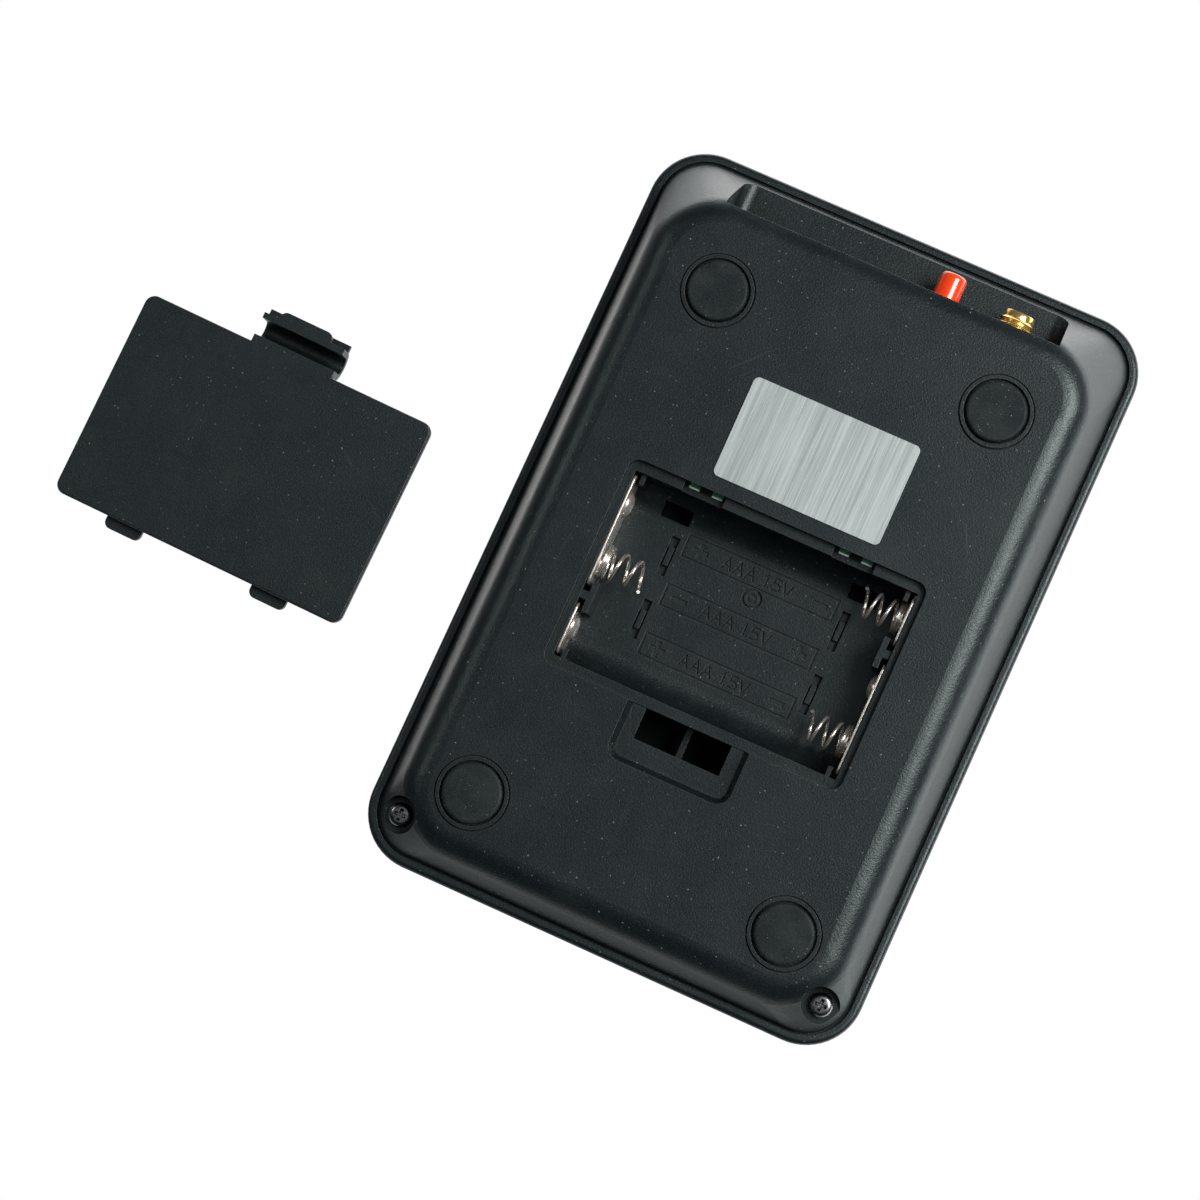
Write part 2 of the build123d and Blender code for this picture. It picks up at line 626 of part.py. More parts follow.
with BuildPart() as dc_power_jack:
    block((power_jack_x - power_jack_size[0] / 2, power_jack_x + power_jack_size[0] / 2),
          (power_jack_front_y - power_jack_size[1], power_jack_front_y),
          (main_board_top, main_board_top + power_jack_size[2]))
    barrel(power_jack_x, fitting_z, plug_radius, (power_jack_front_y - plug_depth, power_jack_front_y),
           mode=Mode.SUBTRACT)
save(dc_power_jack, "dc_power_jack")

with BuildPart() as dc_pin:
    barrel(power_jack_x, fitting_z, power_pin_radius,
           (power_jack_front_y - plug_depth, power_jack_front_y - 1))
    fillet(dc_pin.faces().sort_by(Axis.Y)[-1].edges(), radius=0.4)
save(dc_pin, "dc_pin")

with BuildPart() as buzzer:
    disc([buzzer_place], buzzer_size[0], (main_board_top, main_board_top + buzzer_size[1]))
    disc([buzzer_place], 1, (main_board_top + buzzer_size[1] - 1, main_board_top + buzzer_size[1]),
         mode=Mode.SUBTRACT)
save(buzzer, "buzzer")

with BuildPart() as radio_shield:
    block(shield_x, shield_y, (main_board_top, main_board_top + shield_height))
    fillet(radio_shield.edges().filter_by(Axis.Z), radius=0.6)
save(radio_shield, "radio_shield")

with BuildPart() as board_link:
    centred_block((0, link_y), link_size, (main_board_top, 2 * parting_height))
    split(bisect_by=parting.offset(keypad_board_level), keep=Keep.BOTTOM)
save(board_link, "board_link")

# ------------------------------------------------------------------ front shell
key_places = [(key_pitch[0] * (column - 1.5), key_block_y + key_pitch[1] * (1.5 - row))
              for row in range(4) for column in range(4)]

column_places = [(x, parting.to_local_coords(Vector(x, y, parting_height)).Y) for x, y in screw_places]

with BuildPart() as front_hollow:
    add(outline_slab(rim_band, 0, lip_height))
    with BuildSketch(parting):
        with Locations(*column_places):
            Circle(screw_radius + 0.6)
    extrude(amount=lip_height, mode=Mode.SUBTRACT)
    with BuildSketch(parting.offset(lip_height)):
        RectangleRounded(body_width - 2 * front_wall, body_length - 2 * front_wall,
                         corner_radius - front_wall)
        with Locations(*column_places):
            Circle(counterbore_radius + 0.3, mode=Mode.SUBTRACT)
    extrude(amount=face_inside - lip_height)
    with BuildSketch(parting.offset(board_top)):
        with Locations(*post_places):
            Circle(post_radius)
    extrude(amount=face_inside - board_top, mode=Mode.SUBTRACT)

with BuildPart() as front_shell:
    with BuildSketch(parting):
        RectangleRounded(body_width, body_length, corner_radius)
    extrude(amount=front_depth, taper=draft)
    fillet(front_shell.faces().sort_by(up_from_parting)[-1].edges(), radius=face_round)
    fillet(front_shell.faces().sort_by(up_from_parting)[0].edges(), radius=rim_round)
    add(front_hollow.part, mode=Mode.SUBTRACT)
    # recess and window of the display
    with BuildSketch(parting.offset(front_depth - lens_thickness)):
        with Locations((0, lens_y)):
            RectangleRounded(*lens_size, 2.0)
    extrude(amount=lens_thickness, mode=Mode.SUBTRACT)
    with BuildSketch(parting.offset(face_inside)):
        with Locations((0, lens_y)):
            Rectangle(*window_size)
        with Locations(*key_places):
            RectangleRounded(key_size[0] + 2 * key_gap, key_size[1] + 2 * key_gap, key_corner + key_gap)
        with Locations(led_place):
            Circle(led_radius + 0.1)
    extrude(amount=face_thickness, mode=Mode.SUBTRACT)
    # pilot holes
    disc(screw_places, screw_radius + 0.02, (0, screw_top_z + 0.5), mode=Mode.SUBTRACT)
    with BuildSketch(parting.offset(board_top)):
        with Locations(*post_places):
            Circle(small_screw_radius + 0.02)
    extrude(amount=pilot_depth, mode=Mode.SUBTRACT)
save(front_shell, "front_shell")

# ------------------------------------------------------------------ keys and display
with BuildPart() as keypad_board:
    with BuildSketch(parting.offset(keypad_board_level)):
        with Locations((0, keypad_board_y)):
            Rectangle(*keypad_board_size)
        with Locations(*column_places):
            Circle(counterbore_radius + 1, mode=Mode.SUBTRACT)
        with Locations(*post_places):
            Circle(small_screw_radius + 0.1, mode=Mode.SUBTRACT)
    extrude(amount=board_thickness)
save(keypad_board, "keypad_board")

with BuildPart() as keypad_board_screws:
    with BuildSketch(parting.offset(keypad_board_level - small_head[1])):
        with Locations(*post_places):
            Circle(small_head[0])
    extrude(amount=small_head[1])
    with BuildSketch(parting.offset(keypad_board_level)):
        with Locations(*post_places):
            Circle(small_screw_radius)
    extrude(amount=board_thickness + pilot_depth - 0.2)
save(keypad_board_screws, "keypad_board_screws")

with BuildPart() as keypad_mat:
    with BuildSketch(parting.offset(board_top)):
        with Locations((0, key_block_y)):
            RectangleRounded(3 * key_pitch[0] + 14.5, 3 * key_pitch[1] + 12, 2.0)
    extrude(amount=mat_thickness)
    with BuildSketch(parting.offset(board_top)):
        with Locations(*key_places):
            Circle(2.5)
    extrude(amount=key_bottom - key_travel - 0.05 - board_top)
save(keypad_mat, "keypad_mat")

for number, place in enumerate(key_places, 1):
    with BuildPart() as key:
        with BuildSketch(parting.offset(key_bottom)):
            with Locations(place):
                RectangleRounded(*key_size, key_corner)
        extrude(amount=front_depth + key_rise - key_bottom)
        fillet(key.faces().sort_by(up_from_parting)[-1].edges(), radius=0.7)
        with BuildSketch(parting.offset(key_bottom)):
            with Locations(place):
                RectangleRounded(*flange_size, key_corner)
        extrude(amount=flange_thickness)
    save(key, f"key_{number:02d}")

with BuildPart() as display_module:
    with BuildSketch(parting.offset(board_top)):
        with Locations((0, lens_y)):
            Rectangle(*display_size)
    extrude(amount=face_inside - board_top - 0.1)
save(display_module, "display_module")

with BuildPart() as display_lens:
    with BuildSketch(parting.offset(front_depth - lens_thickness)):
        with Locations((0, lens_y)):
            RectangleRounded(lens_size[0] - 0.2, lens_size[1] - 0.2, 1.9)
    extrude(amount=lens_thickness)
save(display_lens, "display_lens")

with BuildPart() as status_led:
    with BuildSketch(parting.offset(board_top)):
        with Locations(led_place):
            Circle(led_radius)
    extrude(amount=front_depth + led_rise - board_top)
    fillet(status_led.faces().sort_by(up_from_parting)[-1].edges(), radius=0.8)
save(status_led, "status_led")

with BuildPart() as control_chip:
    with BuildSketch(parting.offset(keypad_board_level - chip_size[1])):
        with Locations(chip_place):
            Rectangle(chip_size[0], chip_size[0])
    extrude(amount=chip_size[1])
save(control_chip, "control_chip")
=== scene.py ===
"""Looks of a guest pager system's keypad transmitter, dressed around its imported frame.

The housing stands on its feet with the keys up. The first camera looks at it from underneath, where
the battery bay is open, and the battery door lies beside the housing with its latch up.
"""
from math import cos, pi, radians, sin

import bmesh
import bpy
from bpy.props import FloatProperty, FloatVectorProperty, PointerProperty
from bpy.types import Operator, Panel, PropertyGroup
from mathutils import Matrix, Vector


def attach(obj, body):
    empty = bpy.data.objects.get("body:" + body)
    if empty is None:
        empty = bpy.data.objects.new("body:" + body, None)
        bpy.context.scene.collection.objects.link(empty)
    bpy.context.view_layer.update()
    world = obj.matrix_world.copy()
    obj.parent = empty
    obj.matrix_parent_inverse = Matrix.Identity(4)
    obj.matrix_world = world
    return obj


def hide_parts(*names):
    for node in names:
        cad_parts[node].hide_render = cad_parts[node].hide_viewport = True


bl_info = {
    "name": "Pager Keypad",
    "version": (1, 0, 0),
    "blender": (4, 5, 0),
    "location": "View3D > Sidebar > Pager",
    "description": "Dresses the packed frame of a pager system's keypad transmitter",
    "category": "Object",
}

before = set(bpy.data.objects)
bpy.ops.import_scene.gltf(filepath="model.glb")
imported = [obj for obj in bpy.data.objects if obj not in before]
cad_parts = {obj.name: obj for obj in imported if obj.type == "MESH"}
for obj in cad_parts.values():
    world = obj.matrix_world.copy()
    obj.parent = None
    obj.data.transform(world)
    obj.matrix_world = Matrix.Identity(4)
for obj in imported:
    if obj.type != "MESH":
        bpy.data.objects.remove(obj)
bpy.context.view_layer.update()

MM = 0.001
HOUSING = "housing"
COOL_SHEEN = (0.84, 1.0, 1.0, 1)   # tint of the plastic's highlights

FACE_SLOPE = radians(4.2)
FACE_RISE = 13.8 * MM      # parting plane above the table, at the middle of the housing
KEY_TOP = 11.4 * MM        # above the parting plane
FACE = Matrix.Translation((0, 0, FACE_RISE)) @ Matrix.Rotation(FACE_SLOPE, 4, "X")

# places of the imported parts, in millimetres
FEET = ((-28.2, -50.4), (28.2, -50.4), (-25.2, 42.4), (25.2, 42.4))
SCREWS = ((-38.35, -58.7), (38.35, -58.7))
SCREW_SEAT_Z = 8.0
PLATE_X = 25.1             # faces of the contact plates, at both ends of the bay
CELL_Z = 7.9               # axes of the cells
SLOT_X = 13.6              # middles of the two slots for the door's tongues
JACK_X = -22.0
BUTTON_X = -9.4
CONNECTOR_Z = 10.0         # axes of the antenna connector and the power button
KEY_PITCH = (18.5, 15.5)
KEY_BLOCK_Y = -26.0
DISPLAY_Y = 35.0
DIGIT_PITCH = 13.6
SEGMENT_Z = (7.88, 7.96)   # above the parting plane


# ------------------------------------------------------------------ what a user may change
class ShellLook(PropertyGroup):
    """Moulded plastic of the housing and the battery door."""
    colour: FloatVectorProperty(name="Colour", description="Moulded plastic", subtype="COLOR",
                                size=4, min=0, max=1, default=(0.0038, 0.0076, 0.0094, 1))
    roughness: FloatProperty(name="Roughness", description="Of the fine moulded grain",
                             subtype="FACTOR", min=0, max=1, default=0.34)
    grain: FloatProperty(name="Grain", description="Depth of the moulded grain", min=0, max=1, default=0.5)
    dust: FloatProperty(name="Dust", description="How much dust lies on it", min=0, max=1, default=0.5)


class MetalLook(PropertyGroup):
    """Contacts, connector and name plate."""
    nickel: FloatVectorProperty(name="Nickel", description="Springs and contact plates", subtype="COLOR",
                                size=4, min=0, max=1, default=(0.86, 0.83, 0.77, 1))
    gold: FloatVectorProperty(name="Gold", description="Antenna connector", subtype="COLOR",
                              size=4, min=0, max=1, default=(0.90, 0.63, 0.22, 1))
    plate: FloatVectorProperty(name="Name plate", description="Brushed aluminium", subtype="COLOR",
                               size=4, min=0, max=1, default=(0.49, 0.565, 0.57, 1))


class KeypadLook(PropertyGroup):
    """Keys, display and power button."""
    key: FloatVectorProperty(name="Key", description="Key caps", subtype="COLOR",
                             size=4, min=0, max=1, default=(0.50, 0.52, 0.53, 1))
    mark: FloatVectorProperty(name="Mark", description="Printing on the keys", subtype="COLOR",
                              size=4, min=0, max=1, default=(0.02, 0.022, 0.025, 1))
    power: FloatVectorProperty(name="Power button", description="Glossy plastic", subtype="COLOR",
                               size=4, min=0, max=1, default=(0.80, 0.050, 0.006, 1))
    mark_height: FloatProperty(name="Mark height", description="Height of the digits", unit="LENGTH",
                               min=0.002, max=0.008, default=0.0058)


class StageLook(PropertyGroup):
    """Camera, floor and lamps."""
    lens: FloatProperty(name="Lens", description="Focal length in millimetres", min=20, max=300,
                        default=114.0)
    floor: FloatVectorProperty(name="Floor", description="Pale floor", subtype="COLOR",
                               size=4, min=0, max=1, default=(0.86, 0.86, 0.86, 1))
    ambient: FloatProperty(name="Ambient", description="Even light from all round", min=0, max=2,
                           default=0.36)


# ------------------------------------------------------------------ node helpers
def add_node(tree, kind, feeds=None, **settings):
    """New node. feeds maps an input's name or number to a value or to the socket that feeds it."""
    node = tree.nodes.new(kind)
    for key, value in settings.items():
        setattr(node, key, value)
    for key, value in (feeds or {}).items():
        if isinstance(value, bpy.types.NodeSocket):
            tree.links.new(value, node.inputs[key])
        else:
            node.inputs[key].default_value = value
    return node


def new_group(name, inputs, outputs):
    """Empty node group with named sockets, and the nodes that stand for its inputs and outputs."""
    tree = bpy.data.node_groups.new(name, "ShaderNodeTree")
    for label, kind, value in inputs:
        socket = tree.interface.new_socket(name=label, in_out="INPUT", socket_type=kind)
        if value is not None:
            socket.default_value = value
    for label, kind in outputs:
        tree.interface.new_socket(name=label, in_out="OUTPUT", socket_type=kind)
    return tree, tree.nodes.new("NodeGroupInput"), tree.nodes.new("NodeGroupOutput")


def maths(tree, operation, first, second=0.0, clamp=False):
    """Output of a Math node."""
    return add_node(tree, "ShaderNodeMath", {0: first, 1: second}, operation=operation,
                    use_clamp=clamp).outputs[0]


def remap(tree, value, low, high, to_low=0.0, to_high=1.0):
    """Value carried from one range to another, held at the ends."""
    ends = {0: value, 1: low, 2: high, 3: to_low, 4: to_high}
    return add_node(tree, "ShaderNodeMapRange", ends).outputs[0]


def blend_colours(tree, factor, first, second):
    """First colour where the factor is 0 and second where it is 1."""
    mix = add_node(tree, "ShaderNodeMix", data_type="RGBA")
    for key, value in ((0, factor), (6, first), (7, second)):
        if isinstance(value, bpy.types.NodeSocket):
            tree.links.new(value, mix.inputs[key])
        else:
            mix.inputs[key].default_value = value
    return mix.outputs[2]


COLOUR, FLOAT, VECTOR = "NodeSocketColor", "NodeSocketFloat", "NodeSocketVector"


def make_dust_group():
    """Tiny pale specks and a thin uneven film of dust, thicker along the edges."""
    tree, start, end = new_group(
        "Dust", [("Colour", COLOUR, None), ("Dust colour", COLOUR, (0.42, 0.45, 0.45, 1)),
                 ("Amount", FLOAT, 0.5), ("Specks per mm", FLOAT, 1.6), ("Film", FLOAT, 0.02),
                 ("Edge", FLOAT, 0.0)],
        [("Colour", COLOUR), ("Mask", FLOAT)])
    place = add_node(tree, "ShaderNodeTexCoord").outputs["Object"]
    count = maths(tree, "MULTIPLY", start.outputs["Specks per mm"], 1000.0)
    bend = add_node(tree, "ShaderNodeTexNoise", {"Vector": place, "Scale": 2500.0, "Detail": 2.0})
    away = add_node(tree, "ShaderNodeVectorMath", {0: bend.outputs[1], 3: 0.0003}, operation="SCALE")
    bent = add_node(tree, "ShaderNodeVectorMath", {0: place, 1: away.outputs[0]}, operation="ADD")
    cells = add_node(tree, "ShaderNodeTexVoronoi", {"Vector": bent.outputs[0], "Scale": count})
    lottery = add_node(tree, "ShaderNodeSeparateColor", {0: cells.outputs["Color"]})
    size = remap(tree, lottery.outputs[0], 0.80, 1.0, 0.0, 0.22)
    speck = maths(tree, "LESS_THAN", cells.outputs["Distance"], size)
    speck = maths(tree, "MULTIPLY", speck, remap(tree, lottery.outputs[1], 0, 1, 0.10, 0.75))
    cloud = add_node(tree, "ShaderNodeTexNoise",
                     {"Vector": place, "Scale": 130.0, "Detail": 6.0, "Roughness": 0.7})
    film = maths(tree, "MULTIPLY", remap(tree, cloud.outputs[0], 0.42, 0.72), start.outputs["Film"])
    edge = maths(tree, "MULTIPLY", start.outputs["Edge"],
                 remap(tree, cloud.outputs[0], 0.35, 0.65, 0.02, 0.30))
    powder = add_node(tree, "ShaderNodeTexNoise", {"Vector": place, "Scale": 5200.0, "Detail": 2.0})
    powder = remap(tree, powder.outputs[0], 0.55, 0.80, 0.0, 0.10)
    mask = maths(tree, "ADD", maths(tree, "ADD", speck, film), maths(tree, "ADD", edge, powder))
    mask = maths(tree, "MULTIPLY", mask, start.outputs["Amount"], clamp=True)
    colour = blend_colours(tree, mask, start.outputs["Colour"], start.outputs["Dust colour"])
    tree.links.new(colour, end.inputs["Colour"])
    tree.links.new(mask, end.inputs["Mask"])
    return tree


def make_grain_group():
    """Fine moulded grain on slightly rounded edges, with masks for outer edges and for painted shade in
    crevices and recesses.
    """
    tree, start, end = new_group(
        "Moulded Grain", [("Roughness", FLOAT, 0.5), ("Grains per mm", FLOAT, 3.0), ("Depth", FLOAT, 0.15),
                          ("Edge radius", FLOAT, 0.0001)],
        [("Roughness", FLOAT), ("Normal", VECTOR), ("Edge", FLOAT), ("Painted shade", FLOAT)])
    place = add_node(tree, "ShaderNodeTexCoord").outputs["Object"]
    count = maths(tree, "MULTIPLY", start.outputs["Grains per mm"], 1000.0)
    grain = add_node(tree, "ShaderNodeTexNoise",
                     {"Vector": place, "Scale": count, "Detail": 3.0, "Roughness": 0.6})
    slow = add_node(tree, "ShaderNodeTexNoise", {"Vector": place, "Scale": 60.0, "Detail": 3.0})
    rough = maths(tree, "ADD", start.outputs["Roughness"],
                  remap(tree, slow.outputs[0], 0.3, 0.7, -0.03, 0.03))
    rough = maths(tree, "ADD", rough, remap(tree, grain.outputs[0], 0.3, 0.7, -0.05, 0.05), clamp=True)
    rounded = add_node(tree, "ShaderNodeBevel", {"Radius": start.outputs["Edge radius"]}, samples=4)
    bump = add_node(tree, "ShaderNodeBump", {"Strength": start.outputs["Depth"], "Distance": 0.00011,
                                             "Height": grain.outputs[0], "Normal": rounded.outputs[0]})
    plain = add_node(tree, "ShaderNodeNewGeometry").outputs["Normal"]
    alike = add_node(tree, "ShaderNodeVectorMath", {0: rounded.outputs[0], 1: plain},
                     operation="DOT_PRODUCT")
    tree.links.new(bump.outputs[0], end.inputs["Normal"])
    near = add_node(tree, "ShaderNodeAmbientOcclusion", {"Distance": 0.0007}, samples=4, only_local=True)
    openness = near.outputs[1]
    edge = maths(tree, "MULTIPLY", remap(tree, alike.outputs[1], 0.995, 0.85),
                 remap(tree, openness, 0.88, 0.99))
    tree.links.new(edge, end.inputs["Edge"])
    # how shut in each spot is, near and wide: both darken the colour as painted shade, the near one also
    # roughens it
    crevice = remap(tree, openness, 0.50, 0.95, 1.0, 0.0)
    wide = add_node(tree, "ShaderNodeAmbientOcclusion", {"Distance": 0.009}, samples=4, only_local=True)
    painted_shade_mask = remap(tree, wide.outputs[1], 0.30, 0.85, 1.0, 0.0)
    tree.links.new(maths(tree, "ADD", rough, maths(tree, "MULTIPLY", crevice, 0.4), clamp=True),
                   end.inputs["Roughness"])
    tree.links.new(maths(tree, "MAXIMUM", crevice, painted_shade_mask), end.inputs["Painted shade"])
    return tree


def make_brush_group():
    """Straight brushed streaks along one axis of the object, as a value and a normal."""
    tree, start, end = new_group(
        "Brushed Streaks", [("Stretch", VECTOR, (1.0, 1.0, 1.0)), ("Depth", FLOAT, 0.2),
                            ("Edge radius", FLOAT, 0.0001)],
        [("Value", FLOAT), ("Normal", VECTOR)])
    place = add_node(tree, "ShaderNodeTexCoord").outputs["Object"]
    stretched = add_node(tree, "ShaderNodeVectorMath", {0: place, 1: start.outputs["Stretch"]},
                         operation="MULTIPLY")
    fine = add_node(tree, "ShaderNodeTexNoise",
                    {"Vector": stretched.outputs[0], "Scale": 1000.0, "Detail": 4.0, "Roughness": 0.7})
    broad = add_node(tree, "ShaderNodeTexNoise",
                     {"Vector": stretched.outputs[0], "Scale": 260.0, "Detail": 2.0, "Roughness": 0.5})
    value = maths(tree, "ADD", maths(tree, "MULTIPLY", fine.outputs[0], 0.75),
                  maths(tree, "MULTIPLY", broad.outputs[0], 0.25))
    value = remap(tree, value, 0.38, 0.62)
    rounded = add_node(tree, "ShaderNodeBevel", {"Radius": start.outputs["Edge radius"]}, samples=4)
    bump = add_node(tree, "ShaderNodeBump", {"Strength": start.outputs["Depth"], "Distance": 0.00004,
                                             "Height": value, "Normal": rounded.outputs[0]})
    tree.links.new(value, end.inputs["Value"])
    tree.links.new(bump.outputs[0], end.inputs["Normal"])
    return tree


def make_scratch_group():
    """Few faint hairline scratches in mixed directions, as a mask."""
    tree, start, end = new_group(
        "Hairline Scratches", [("Per mm", FLOAT, 0.035), ("Width", FLOAT, 0.0012)], [("Mask", FLOAT)])
    place = add_node(tree, "ShaderNodeTexCoord").outputs["Object"]
    strength = None
    for angle, offset in ((0.35, 0.0), (-0.9, 0.031), (1.9, 0.057)):
        turned = add_node(tree, "ShaderNodeMapping", {"Vector": place, "Location": (offset, offset, 0),
                                                      "Rotation": (0, 0, angle), "Scale": (1.0, 0.16, 1.0)})
        count = maths(tree, "MULTIPLY", start.outputs["Per mm"], 1000.0)
        lines = add_node(tree, "ShaderNodeTexVoronoi", {"Vector": turned.outputs[0], "Scale": count},
                         feature="DISTANCE_TO_EDGE")
        thin = maths(tree, "LESS_THAN", lines.outputs["Distance"], start.outputs["Width"])
        patch = add_node(tree, "ShaderNodeTexNoise", {"Vector": place, "Scale": 90.0, "Detail": 2.0})
        thin = maths(tree, "MULTIPLY", thin, remap(tree, patch.outputs[0], 0.56, 0.66))
        strength = thin if strength is None else maths(tree, "MAXIMUM", strength, thin)
    tree.links.new(strength, end.inputs["Mask"])
    return tree


groups = {}
materials = {}


def use_group(tree, name, feeds=None):
    """Places a shared effect in a material, making the effect the first time."""
    makers = {"dust": make_dust_group, "grain": make_grain_group, "brush": make_brush_group,
              "scratch": make_scratch_group}
    if name not in groups:
        groups[name] = makers[name]()
    node = tree.nodes.new("ShaderNodeGroup")
    node.node_tree = groups[name]
    for key, value in (feeds or {}).items():
        if isinstance(value, bpy.types.NodeSocket):
            tree.links.new(value, node.inputs[key])
        else:
            node.inputs[key].default_value = value
    return node.outputs


def new_material(name, **values):
    """Material with a Principled shader whose named sockets hold the given values."""
    material = bpy.data.materials.new(name)
    material.use_nodes = True
    tree = material.node_tree
    shader = tree.nodes["Principled BSDF"]
    for key, value in values.items():
        shader.inputs[key.replace("_", " ")].default_value = value
    materials[name] = material
    return tree, shader


def plastic(name, colour, roughness, grain=0.15, grains=3.0, dust=0.5, specks=1.6, film=0.02, scratches=0.0,
            edge=0.12, edge_wear_and_highlight=0.6, painted_shade=0.0, shine=0.5):
    """Moulded plastic or rubber with grain, softened edges, dust and, where asked, a few scratches; outer
    edges paler with wear and a painted highlight, recesses darker with painted shade.
    """
    tree, shader = new_material(name, Specular_Tint=COOL_SHEEN, Specular_IOR_Level=shine)
    rough, normal, rim, painted_shade_mask = use_group(tree, "grain", {
        "Roughness": roughness, "Grains per mm": grains, "Depth": grain, "Edge radius": edge * MM})
    # pale edges: partly wear, partly a painted highlight along the outer edges
    pale = tuple(min(1.0, 2.6 * value + 0.030) for value in colour[:3]) + (1,)
    # painted shade: crevices and recesses darken towards 0.22 of the colour
    painted_shade_colour = tuple(0.22 * value for value in colour[:3]) + (1,)
    colour_with_wear_and_painted_light = blend_colours(tree, maths(tree, "MULTIPLY", rim, edge_wear_and_highlight), tuple(colour), pale)
    colour_with_wear_and_painted_light = blend_colours(tree, maths(tree, "MULTIPLY", painted_shade_mask, painted_shade), colour_with_wear_and_painted_light, painted_shade_colour)
    dusty, dusted = use_group(tree, "dust", {
        "Colour": colour_with_wear_and_painted_light, "Amount": dust, "Specks per mm": specks, "Film": film, "Edge": rim})
    if scratches:
        mask = use_group(tree, "scratch")[0]
        bright = tuple(min(1.0, 2.2 * value + 0.03) for value in colour[:3]) + (1,)
        dusty = blend_colours(tree, maths(tree, "MULTIPLY", mask, scratches), dusty, bright)
    tree.links.new(dusty, shader.inputs["Base Color"])
    tree.links.new(maths(tree, "ADD", rough, maths(tree, "MULTIPLY", dusted, 0.4), clamp=True),
                   shader.inputs["Roughness"])
    tree.links.new(normal, shader.inputs["Normal"])
    return materials[name]


def bright_metal(name, colour, roughness, stretch=(1, 1, 1), depth=0.1, contrast=0.12, edge=0.1,
                 metallic=1.0):
    """Plated or brushed metal with fine streaks along one axis."""
    tree, shader = new_material(name, Metallic=metallic)
    value, normal = use_group(tree, "brush", {"Stretch": stretch, "Depth": depth, "Edge radius": edge * MM})
    dark = tuple(level * (1 - 2 * contrast) for level in colour[:3]) + (1,)
    tree.links.new(blend_colours(tree, value, dark, tuple(colour)), shader.inputs["Base Color"])
    tree.links.new(remap(tree, value, 0, 1, roughness + 0.06, max(0.03, roughness - 0.06)),
                   shader.inputs["Roughness"])
    if edge:
        tree.links.new(normal, shader.inputs["Normal"])
    return materials[name]


# ------------------------------------------------------------------ piece helpers
def dress(nodes, material):
    """Gives CAD nodes a material."""
    for name in nodes:
        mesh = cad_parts[name].data
        mesh.materials.clear()
        mesh.materials.append(material)


def finish_piece(shape, name, body, material, replaces=(), angle=35.0):
    """Turns a bmesh into a smooth-shaded piece that rides on a body."""
    mesh = bpy.data.meshes.new(name)
    shape.to_mesh(mesh)
    shape.free()
    mesh.polygons.foreach_set("use_smooth", [True] * len(mesh.polygons))
    mesh.set_sharp_from_angle(angle=radians(angle))
    mesh.materials.append(material)
    piece = bpy.data.objects.new(name, mesh)
    bpy.context.scene.collection.objects.link(piece)
    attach(piece, body)
    if replaces:
        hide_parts(*replaces)
    return piece


def add_lathe(shape, profile, place, steps=64):
    """Turns an open line of (radius, height) about Z, carries it to its place and adds it to a shape."""
    part = bmesh.new()
    rings = [part.verts.new((radius, 0, height)) for radius, height in profile]
    edges = [part.edges.new(pair) for pair in zip(rings, rings[1:])]
    bmesh.ops.spin(part, geom=rings + edges, cent=(0, 0, 0), axis=(0, 0, 1), angle=2 * pi, steps=steps,
                   use_merge=True, use_duplicate=False)
    bmesh.ops.remove_doubles(part, verts=part.verts, dist=1e-7)
    bmesh.ops.recalc_face_normals(part, faces=part.faces)
    bmesh.ops.transform(part, matrix=place, verts=part.verts)
    join(shape, part)


def in_mm(points):
    """Points or profile given in millimetres, in metres."""
    return [tuple(value * MM for value in point) for point in points]


def join(shape, part):
    """Adds one bmesh to another and frees it."""
    mesh = bpy.data.meshes.new("scrap")
    part.to_mesh(mesh)
    part.free()
    shape.from_mesh(mesh)
    bpy.data.meshes.remove(mesh)


def add_block(shape, low, high, bevel=0.0, segments=2):
    """Adds a box between two corners, with all its edges rounded."""
    part = bmesh.new()
    bmesh.ops.create_cube(part, size=1.0)
    low, high = Vector(low), Vector(high)
    bmesh.ops.scale(part, vec=high - low, verts=part.verts)
    bmesh.ops.translate(part, vec=(low + high) / 2, verts=part.verts)
    if bevel:
        bmesh.ops.bevel(part, geom=part.edges[:], offset=bevel, offset_type="OFFSET", affect="EDGES",
                        segments=segments, profile=0.5, material=-1)
    join(shape, part)


def add_plate(shape, corners, rounding, low, high, place, bevel=0.0):
    """Adds a flat plate with rounded corners, drawn in the XY plane between two heights."""
    part = bmesh.new()
    part.faces.new([part.verts.new((*corner, low)) for corner in corners])
    bmesh.ops.bevel(part, geom=part.verts[:], offset=rounding, offset_type="OFFSET", affect="VERTICES",
                    segments=5, profile=0.5, material=-1)
    raised = bmesh.ops.extrude_face_region(part, geom=part.faces[:], use_keep_orig=True)
    bmesh.ops.translate(part, vec=(0, 0, high - low),
                        verts=[item for item in raised["geom"] if isinstance(item, bmesh.types.BMVert)])
    bmesh.ops.recalc_face_normals(part, faces=part.faces)
    if bevel:
        sharp = [edge for edge in part.edges if edge.calc_face_angle(0) > radians(50)]
        bmesh.ops.bevel(part, geom=sharp, offset=bevel, offset_type="OFFSET", affect="EDGES", segments=3,
                        profile=0.5, material=-1)
    bmesh.ops.transform(part, matrix=place, verts=part.verts)
    join(shape, part)


